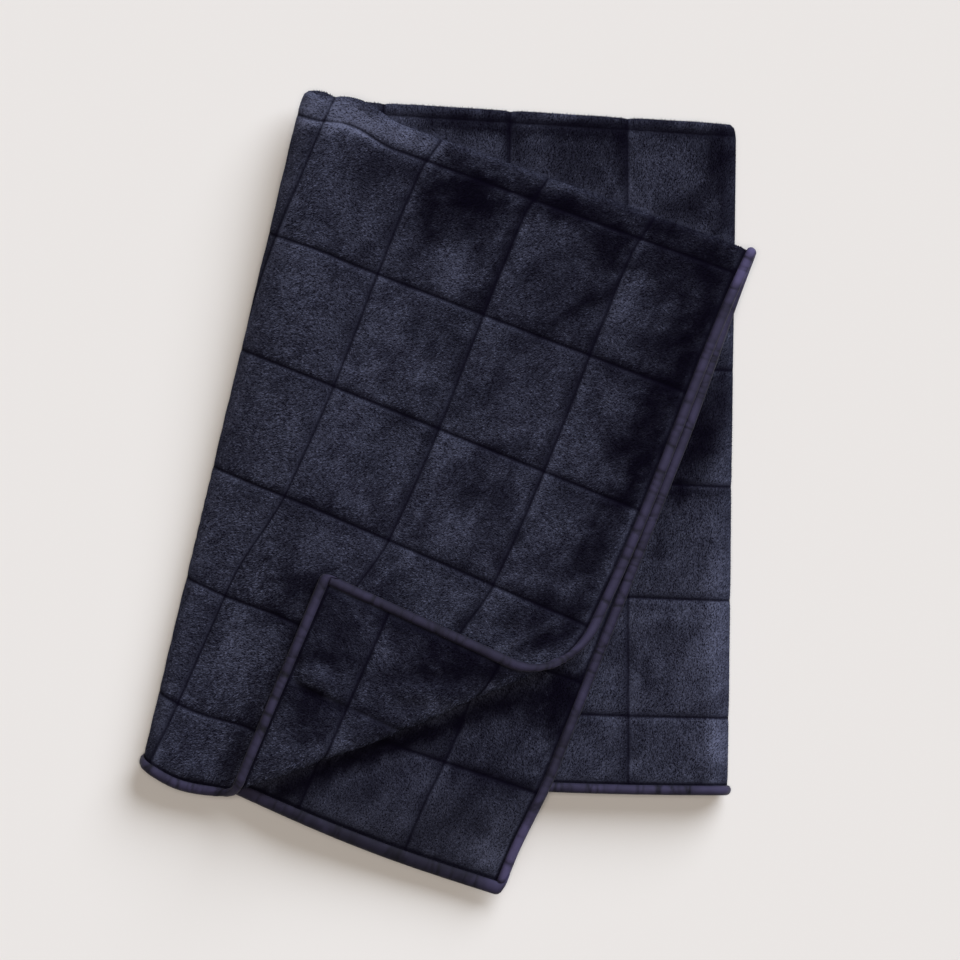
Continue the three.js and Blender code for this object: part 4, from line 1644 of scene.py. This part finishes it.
PATCHES = (
    # the front layer, dark below the top fold
    *brush_and_light_patches(
        Zone.FRONT,
        (20, 262, 50, 18, -15, -0.85), (15, 240, 40, 26, -15, -0.45), (50, 212, 34, 7, 65, -0.6),
        (-18, 246, 9, 26, 0, -0.4), (100, 250, 42, 13, -18, -0.65), (105, 249, 19, 12, 0, -0.6),
        (145, 215, 24, 28, 0, -0.82), (186, 232, 14, 12, 0, -0.6), (205, 205, 42, 24, -18, -0.6),
        (101, 260, 165, 9, -18, -0.4), (-60, 285, 26, 16, 0, -0.45), (-45, 240, 30, 14, 65, -0.3),
        (-135, 240, 18, 14, 0, -0.3), (30, 291, 40, 7, -15, -0.35),
    ),
    # the front layer, dark beside its free edge and along a pulled square
    *brush_and_light_patches(
        Zone.FRONT,
        (100, 185, 42, 48, 0, -0.42), (118, 166, 34, 4, 34, -0.6), (37, 178, 22, 7, 65, -0.5),
        (225, 170, 60, 20, 66, -0.82), (210, 130, 40, 12, 66, -0.7), (195, 100, 40, 16, 65, -0.6),
        (176, 55, 56, 20, 65, -0.85), (150, 0, 36, 18, 55, -0.8), (128, -50, 30, 18, 60, -0.72),
        (60, 40, 30, 10, -20, -0.3), (40, -50, 30, 30, 0, -0.2), (2, 243, 24, 26, 0, -0.4),
        (70, 247, 16, 14, 0, -0.5), (74, 140, 26, 11, 20, -0.4), (165, 103, 32, 11, -18, -0.5),
        (146, 46, 14, 22, 0, -0.5), (108, 85, 22, 7, 65, -0.4), (110, 4, 18, 12, -25, -0.4),
        (-35, 62, 34, 9, -22, -0.4), (55, 28, 26, 8, -20, -0.4), (-110, -20, 34, 11, -18, -0.3),
        (170, 20, 38, 7, 66, -0.5), (122, 163, 26, 5, 34, -0.5), (182, 130, 18, 13, 0, -0.45),
        (50, 5, 30, 7, 70, -0.35), (45, 272, 40, 7, -18, -0.5), (125, 247, 34, 7, -18, -0.4),
        (-18, 196, 14, 18, 0, -0.35), (182, 168, 16, 12, 0, -0.5), (-88, 96, 30, 9, -32, -0.35),
        (-12, 55, 32, 8, 68, -0.35), (5, -66, 16, 11, -25, -0.45),
    ),
    # the front layer, smaller dark and light spots, with a painted shadow beside the turned-back corner's
    # left tape
    *brush_and_light_patches(
        Zone.FRONT,
        (63, 90, 40, 32, 0, -0.22), (200, 150, 44, 9, 66, -0.35), (155, 222, 10, 18, -20, -0.4),
        (146, 5, 12, 14, 0, 0.6), (-151, -165, 95, 6, 64.5, -0.35), (-90, -25, 22, 11, -20, -0.25),
        (75, -127, 22, 8, 30, -0.45), (30, -80, 18, 11, 0, -0.3), (110, -105, 15, 6, 30, -0.4),
        (-60, 120, 40, 14, 0, 0.22), (-85, 35, 18, 18, 0, 0.3), (-135, 140, 18, 18, 0, 0.2),
        (190, 115, 14, 12, 0, 0.5), (43, 175, 6, 9, 0, 0.6), (165, 90, 20, 8, -20, -0.3),
        (-163, 130, 8, 18, -15, -0.3), (-86, 143, 8, 15, 0, -0.3), (10, 12, 12, 16, 0, -0.3),
        (65, -30, 30, 6, 66, -0.3),
    ),
    # the front layer, painted shadow round the turned-back corner and beside its left tape, and painted shade
    # in the troughs beside the roll's open end
    *brush_and_light_patches(
        Zone.FRONT,
        (122, -88, 9, 18, -20, -0.5), (-115, -80, 16, 10, -20, -0.5), (-125, -86, 36, 13, -25, -0.6),
        (-65, -98, 45, 7, -23, -0.5), (20, -108, 14, 12, 0, -0.4), (90, -92, 32, 12, -20, -0.55),
        (62, -108, 26, 16, 20, -0.55), (97, -127, 28, 10, 28, -0.75), (-140, -115, 34, 16, -35, -0.6),
        (-185, -222, 40, 8, 68, -0.5), (-215, -255, 40, 6, -8, -0.4), (-190, -160, 60, 110, 0, -0.12),
    ),
    # the front layer, painted highlights on the rim of the folds and on the ridges beside the roll's open
    # end, and lighter in some squares
    *brush_and_light_patches(
        Zone.FRONT,
        (-105, 332, 40, 14, -15, 1.6), (-65, 318, 40, 12, -18, 1.6), (-15, 300, 14, 8, -18, 0.9),
        (250, 205, 14, 8, -18, 0.9), (152, 160, 28, 6, 65, 0.5), (-60, 150, 24, 20, 0, 0.15),
        (-125, 195, 20, 20, 0, 0.35), (0, 190, 14, 24, 0, 0.35), (-145, 60, 20, 30, 0, 0.2),
        (-70, 80, 24, 16, 0, 0.25), (-20, 100, 30, 8, -20, 0.25), (-180, -130, 18, 34, 0, 0.3),
        (75, -122, 38, 4, 27, 0.9), (88, -138, 22, 4, 29, 0.9), (-2, 40, 18, 20, 0, 0.3),
        (-95, 70, 16, 26, 0, 0.25), (150, 14, 10, 9, 0, 1.2), (-42, -55, 20, 14, 0, 0.35),
        (85, -82, 34, 7, -28, 0.45), (217, 163, 20, 7, 75, 2.2), (-25, 260, 22, 6, 70, 0.5),
        (-75, 245, 26, 22, 0, 0.2), (-100, 108, 55, 10, -16, 0.35), (-35, 100, 28, 10, -12, 0.3),
        (56, 55, 9, 28, -10, 0.3), (8, 208, 20, 16, -20, 0.4), (70, 228, 7, 15, -15, 0.4),
        (-190, -140, 12, 36, -18, 0.3), (-205, -90, 15, 8, -20, 0.4), (-80, 34, 18, 20, 0, 0.3),
        (-45, -18, 34, 26, -20, 0.25), (36, -30, 18, 28, 0, 0.2), (15, 90, 16, 18, 0, 0.25),
        (195, 116, 13, 11, 0, 0.6), (135, 100, 20, 6, 40, 0.5), (80, 203, 16, 14, 0, 0.35),
        (105, 262, 20, 6, -18, 0.5), (142, 243, 22, 6, -18, 0.7),
    ),
    # a painted highlight on the left fold's top corner
    *brush_and_light_patches(Zone.OTHER, (-125, 335, 24, 24, 0, 1.2)),
    # the back panel: painted shadow beside the front layer's free edge, painted highlights on its top crest
    # and its right fold, and darker below the crest
    *brush_and_light_patches(
        Zone.PANEL,
        (20, 323, 50, 9, -4, -0.75), (125, 317, 40, 9, -4, -0.75), (205, 313, 34, 6, -4, -0.65),
        (58, 305, 10, 22, 0, -0.6), (110, 295, 50, 24, 0, -0.25), (152, 292, 7, 22, 0, -0.5),
        (235, 288, 16, 30, 0, -0.65), (212, 252, 16, 16, 0, -0.55), (240, 240, 12, 20, 0, -0.4),
        (215, 50, 55, 14, 70, -0.8), (224, 42, 16, 16, 0, -0.5), (238, 90, 35, 10, 80, -0.5),
        (202, -2, 20, 10, 65, -0.6), (184, -48, 18, 6, 70, -0.5), (130, 325, 170, 5, -3.8, -0.4),
        (98, 330, 16, 4, 0, 0.8), (242, 292, 12, 34, 0, -0.5), (222, 30, 34, 12, 62, -0.5),
        (241, 70, 10, 26, 0, -0.4), (222, 1, 36, 5, 0, -0.6), (172, 285, 14, 30, 0, 0.2),
        (110, 292, 24, 18, 0, 0.3), (238, -110, 14, 120, 0, 0.4), (240, -225, 14, 40, 0, 0.5),
        (150, -240, 26, 12, 0, 0.35), (215, -120, 40, 100, 0, 0.2), (190, -195, 56, 60, 0, 0.12),
        (167, -180, 5, 62, 0, 0.5), (205, -252, 44, 10, 0, 0.2),
    ),
    # the back layer that shows below the front one: painted shadow under the roll and in the hollow at its
    # open end, and lighter and darker spots
    *brush_and_light_patches(
        Zone.UNDER,
        (-42, -218, 138, 10, 20.4, -0.92), (-36, -234, 120, 16, 20.4, -0.2), (-125, -257, 36, 9, 20, -0.7),
        (-40, -300, 14, 10, 0, -0.4), (88, -190, 34, 26, 0, -0.75), (102, -172, 18, 26, 0, -0.75),
        (60, -205, 26, 12, 20, 0.4), (25, -247, 36, 9, -24, -0.5), (60, -255, 20, 8, 0, -0.45),
        (-20, -275, 8, 22, -20, -0.3), (40, -292, 34, 30, 0, 0.4), (25, -315, 34, 14, -20, 0.3),
        (-75, -285, 55, 9, -19, 0.25), (75, -225, 22, 8, 65, 0.3), (91, -203, 10, 28, 10, -0.5),
        (46, -304, 13, 28, -22, 0.45),
    ),
    # the turned-back corner: a painted highlight along its roll's lip and on a lobe, painted shade in a
    # pleat, and darker over most of it
    *brush_and_light_patches(
        Zone.FLAP,
        (-60, -150, 95, 70, 20, -0.3), (-105, -108, 34, 26, -30, -0.55), (-25, -118, 75, 9, -25, -0.55),
        (20, -148, 60, 20, -8, -0.72), (-92, -148, 12, 10, 0, -0.5), (-20, -160, 54, 8, 0, -0.5),
        (-120, -135, 12, 22, -20, -0.4), (-118, -182, 26, 9, -18, -0.5), (-107, -143, 10, 5, 0, -0.6),
        (-112, -178, 32, 5.5, -27, -0.85), (-115, -198, 18, 18, 0, -0.45), (-60, -197, 24, 6, -20, -0.4),
        (-105, -225, 30, 9, 20, 0.35), (62, -166, 34, 5, 2, 0.8), (-119, -154, 13, 7, -15, 0.7),
        (-26, -125, 22, 7, -20, -0.4), (-55, -140, 8, 10, 0, 0.3), (-5, -187, 26, 8, 10, 0.6),
        (-98, -218, 22, 8, 65, 0.2), (-46, -203, 125, 9, 20.2, -0.15), (-84, -203, 24, 16, 0, -0.12),
        (-125, -207, 18, 14, 0, -0.4), (38, -174, 55, 7, 20.4, 0.5),
    ),
)

# the tape is dark along the back layer's foot and light near the foot of its side, with painted shade on the
# turned-back corner and a painted highlight on the top fold
TAPE_PATCHES = (
    BrushAndLightPatch(Zone.FLAP, (-20, -117), (120, 16), -21.0, -0.45),
    BrushAndLightPatch(Zone.FLAP, (-152, -165), (100, 14), 68.0, -0.15),
    BrushAndLightPatch(Zone.UNDER, (-60, -308), (120, 14), -19.6, -0.7),
    BrushAndLightPatch(Zone.UNDER, (97, -222), (34, 12), 65.0, -0.6),
    BrushAndLightPatch(Zone.UNDER, (58, -312), (40, 16), 65.0, 1.8),
    BrushAndLightPatch(Zone.FRONT, (264, 206), (26, 14), 65.0, 2.4),
    BrushAndLightPatch(Zone.UNDER, (264, 206), (26, 14), 65.0, 2.4),
    BrushAndLightPatch(Zone.PANEL, (150, -266), (120, 12), 0.0, 0.3),
)


def main() -> None:
    """Builds the blanket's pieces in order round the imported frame."""
    logging.basicConfig(level=logging.INFO, format="%(name)s: %(message)s")
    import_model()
    bpy.context.scene.view_settings.view_transform = "Standard"
    Studio().build()

    sheet = FoldedSheet(creases=CREASES)
    quilt = Quilt(sheet, PlushFinish("Plush cloth"), patches=PATCHES)
    cloth = quilt.build()
    quilt.dress(cloth)
    log.info("%s: %d faces", cloth.name, len(cloth.data.polygons))

    pile = Pile(quilt, PlushFinish("Plush pile"))
    spikes = pile.build()
    pile.dress(spikes)
    for piece in spikes:
        log.info("%s: %d faces", piece.name, len(piece.data.polygons))

    tape = TapeFinish("Woven tape").material()
    for node, is_side, is_far in (
        ("binding_side_front", True, False),
        ("binding_side_inner", True, True),
        ("binding_end_front", False, False),
        ("binding_end_back", False, True),
    ):
        binding = Binding(sheet, node, is_side, is_far, patches=TAPE_PATCHES)
        strip = binding.build()
        binding.dress(strip, tape)
        log.info("%s: %d faces", strip.name, len(strip.data.polygons))


if __name__ == "__main__":
    main()
